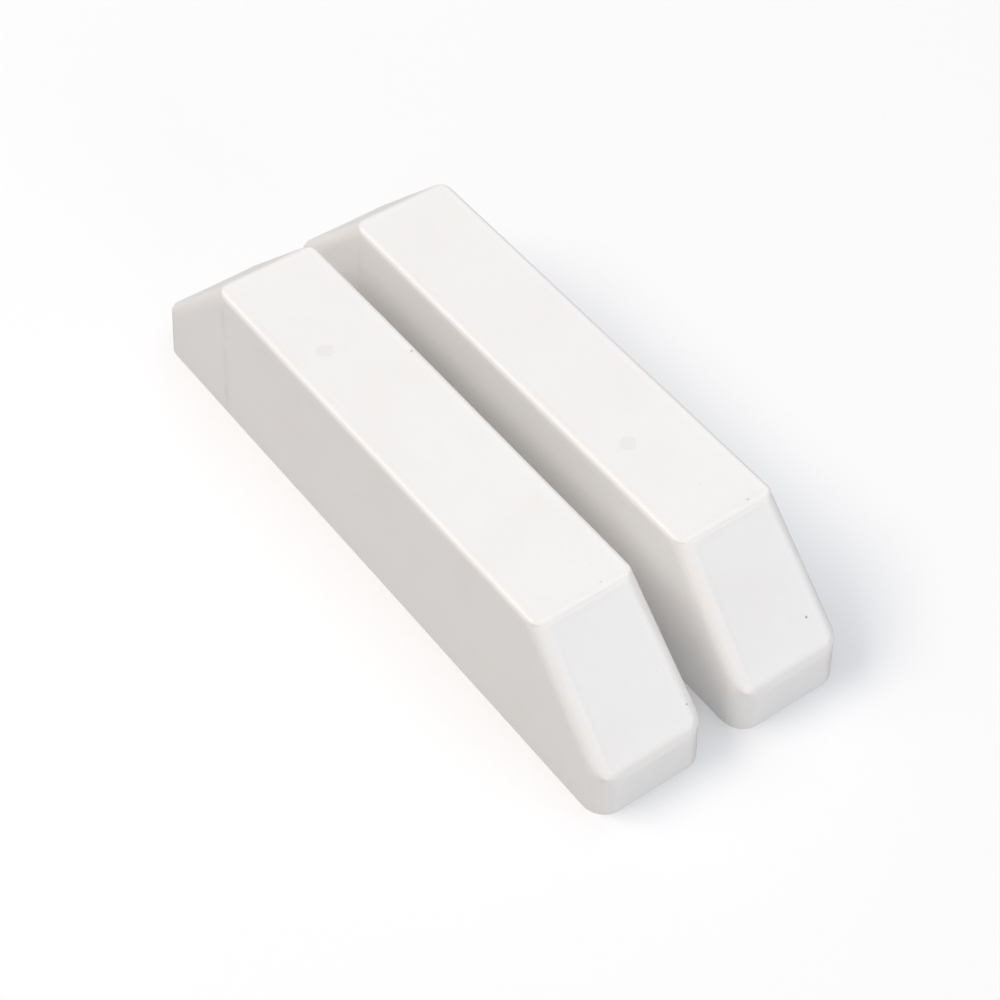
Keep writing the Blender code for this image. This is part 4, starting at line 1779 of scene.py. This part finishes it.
@dataclass
class Studio:
    """A pale floor, soft lights and the camera."""

    sky: float = 0.42
    sky_colour: Colour = (1.0, 1.0, 1.02)
    floor_colour: Colour = (1.0, 1.0, 1.0)
    floor_bounce: Colour = (0.44, 0.44, 0.44)
    camera_place: Point = (111.954 * MM, -84.361 * MM, 159.419 * MM)
    camera_way: Point = (-0.523352, 0.402454, -0.751088)
    camera_up: Point = (-0.612142, 0.435607, 0.659946)
    lens: float = 88.976
    boxes: tuple[SoftBox, ...] = (
        SoftBox("overhead_light", (0.0, 0.1, 1.1), (0.0, 0.0, 0.0), (1.5, 1.5), 5.6, (0.87, 0.93, 1.0)),
        SoftBox("side_light", (-0.42, -0.60, 0.84), (0.0, 0.0, 0.0), (1.0, 0.45), 5.6, (1.0, 0.92, 0.85)),
        SoftBox("front_light", (1.0, -0.1, 0.09), (0.0, 0.0, 0.0), (1.0, 0.16), 3.5, (0.95, 0.96, 1.0)),
    )

    def _floor(self) -> None:
        """A wide pale floor with a faint paper grain."""
        bm = bmesh.new()
        bmesh.ops.create_grid(bm, x_segments=1, y_segments=1, size=3.0)
        mesh = kept(bm, "studio_floor")
        floor = shown("studio_floor", mesh)
        surface = Surface("studio_paper")
        graph = surface.graph
        grain = surface.grain(6.0, 400.0, 0.5)
        pale = tuple(channel * 0.985 for channel in self.floor_colour)
        seen = graph.mix(grain.outputs["Clouds"], pale, self.floor_colour)
        direct = graph.add("ShaderNodeLightPath", {}).outputs["Is Camera Ray"]
        surface.feed(Base_Color=graph.mix(direct, self.floor_bounce, seen))
        surface.plain(Roughness=0.9, Specular_IOR_Level=0.1)
        mesh.materials.append(surface.material)

    def _sky(self) -> None:
        """An even pale surround."""
        world = bpy.data.worlds.new("studio_surround")
        world.use_nodes = True
        background = world.node_tree.nodes["Background"]
        background.inputs["Color"].default_value = (*self.sky_colour, 1.0)
        background.inputs["Strength"].default_value = self.sky
        bpy.context.scene.world = world

    def _camera(self) -> None:
        """The camera, at its fitted place."""
        data = bpy.data.cameras.new("studio_camera")
        data.lens = self.lens
        data.sensor_width = 36.0
        data.clip_start = 0.005
        data.clip_end = 20.0
        camera = shown("studio_camera", data)
        back = -Vector(self.camera_way).normalized()
        right = Vector(self.camera_up).cross(back).normalized()
        turn = Matrix((right, back.cross(right), back)).transposed()
        camera.matrix_world = Matrix.Translation(self.camera_place) @ turn.to_4x4()
        bpy.context.scene.camera = camera

    def build(self) -> None:
        """Makes the whole set."""
        self._floor()
        self._sky()
        self._camera()
        for box in self.boxes:
            box.build()
        bpy.context.scene.view_settings.view_transform = "Standard"


TOP = 14.0
SPECKS = (
    (29.61, 9.94, 6.75, 0.13, 0.85),
    (30.32, -2.83, 6.02, 0.09, 0.7),
    (27.91, -4.08, 8.48, 0.08, 0.35),
    (26.05, -4.41, 10.38, 0.07, 0.3),
    (21.71, -5.04, TOP, 0.10, 0.3),
    (19.93, -4.63, TOP, 0.08, 0.25),
    (18.48, 7.49, TOP, 0.09, 0.3),
    (21.84, 9.50, TOP, 0.12, 0.35),
    (-6.89, -2.58, TOP, 0.14, 0.6),
)
GATES = {"switch": (-11.04 * MM, -8.44 * MM), "magnet": (11.59 * MM, 5.58 * MM)}


def finishes() -> dict[str, Finish]:
    """Every finish, by the record's slot.

    Returns:
        The finishes.
    """
    specks = tuple(Speck((x * MM, y * MM, z * MM), wide * MM, strength) for x, y, z, wide, strength in SPECKS)
    gates = tuple((*GATES[unit], TOP * MM) for unit in ("magnet", "switch"))
    return {
        "cover_plastic": CoverPlastic(gates=gates, specks=specks),
        "base_plastic": MattePlastic(),
        "brass": WorkedMetal("brass", (0.83, 0.62, 0.30), (0.55, 0.38, 0.17), 0.24),
        "plated_steel": WorkedMetal("plated_steel", (0.74, 0.745, 0.75), (0.50, 0.50, 0.49), 0.22),
        "reed_glass": GreenGlass(),
        "reed_alloy": WorkedMetal(
            "reed_alloy", (0.72, 0.70, 0.66), (0.52, 0.50, 0.46), 0.26, mark_scale=7000.0, mark_stretch=0.03
        ),
        "sleeve_rubber": Silicone(),
        "solder": WorkedMetal(
            "solder", (0.78, 0.78, 0.79), (0.50, 0.50, 0.52), 0.28, mark_scale=1500.0, mark_stretch=1.0
        ),
        "magnet": CastMagnet(),
    }


def build_covers(shop: Workshop) -> None:
    """The two covers.

    Args:
        shop: Where they're finished.
    """
    nicks = {
        "switch": Dent((-6.89 * MM, -2.50 * MM), 0.28 * MM, 0.10 * MM),
        "magnet": Dent((16.74 * MM, 1.85 * MM), 0.22 * MM, 0.06 * MM),
    }
    for unit, seed in (("switch", 3.1), ("magnet", 8.6)):
        part = Part(f"{unit}_cover_shell", f"{unit}_cap", "cover_plastic", f"{unit}_cover", SOFT_FACETS)
        gate = Dent(GATES[unit], 0.16 * MM, 0.010 * MM, ring=0.66 * MM)
        CoverShell(part, (gate, nicks[unit]), seed).build(shop)


def build_insides(shop: Workshop) -> None:
    """Everything under the two covers.

    Args:
        shop: Where the pieces are finished.
    """
    SwitchBase(
        Part("switch_base_moulded", "switch_unit", "base_plastic", "switch_base"),
        witness_places=(-10.4 * MM, 10.4 * MM),
    ).build(shop)
    for number, side in ((1, Side.LOW), (2, Side.HIGH)):
        Terminal(number, side).build(shop)
    ReedSwitch().build(shop)
    MagnetBase(
        Part("magnet_base_moulded", "magnet_unit", "base_plastic", "magnet_base"),
        witness_places=(-20.6 * MM, 20.6 * MM),
    ).build(shop)
    BarMagnet().build(shop)


def main() -> None:
    """Builds the object and its studio."""
    logging.basicConfig(level=logging.INFO, format="%(name)s %(message)s")
    shop = Workshop(finishes())
    build_covers(shop)
    build_insides(shop)
    Studio().build()


if __name__ == "__main__":
    main()
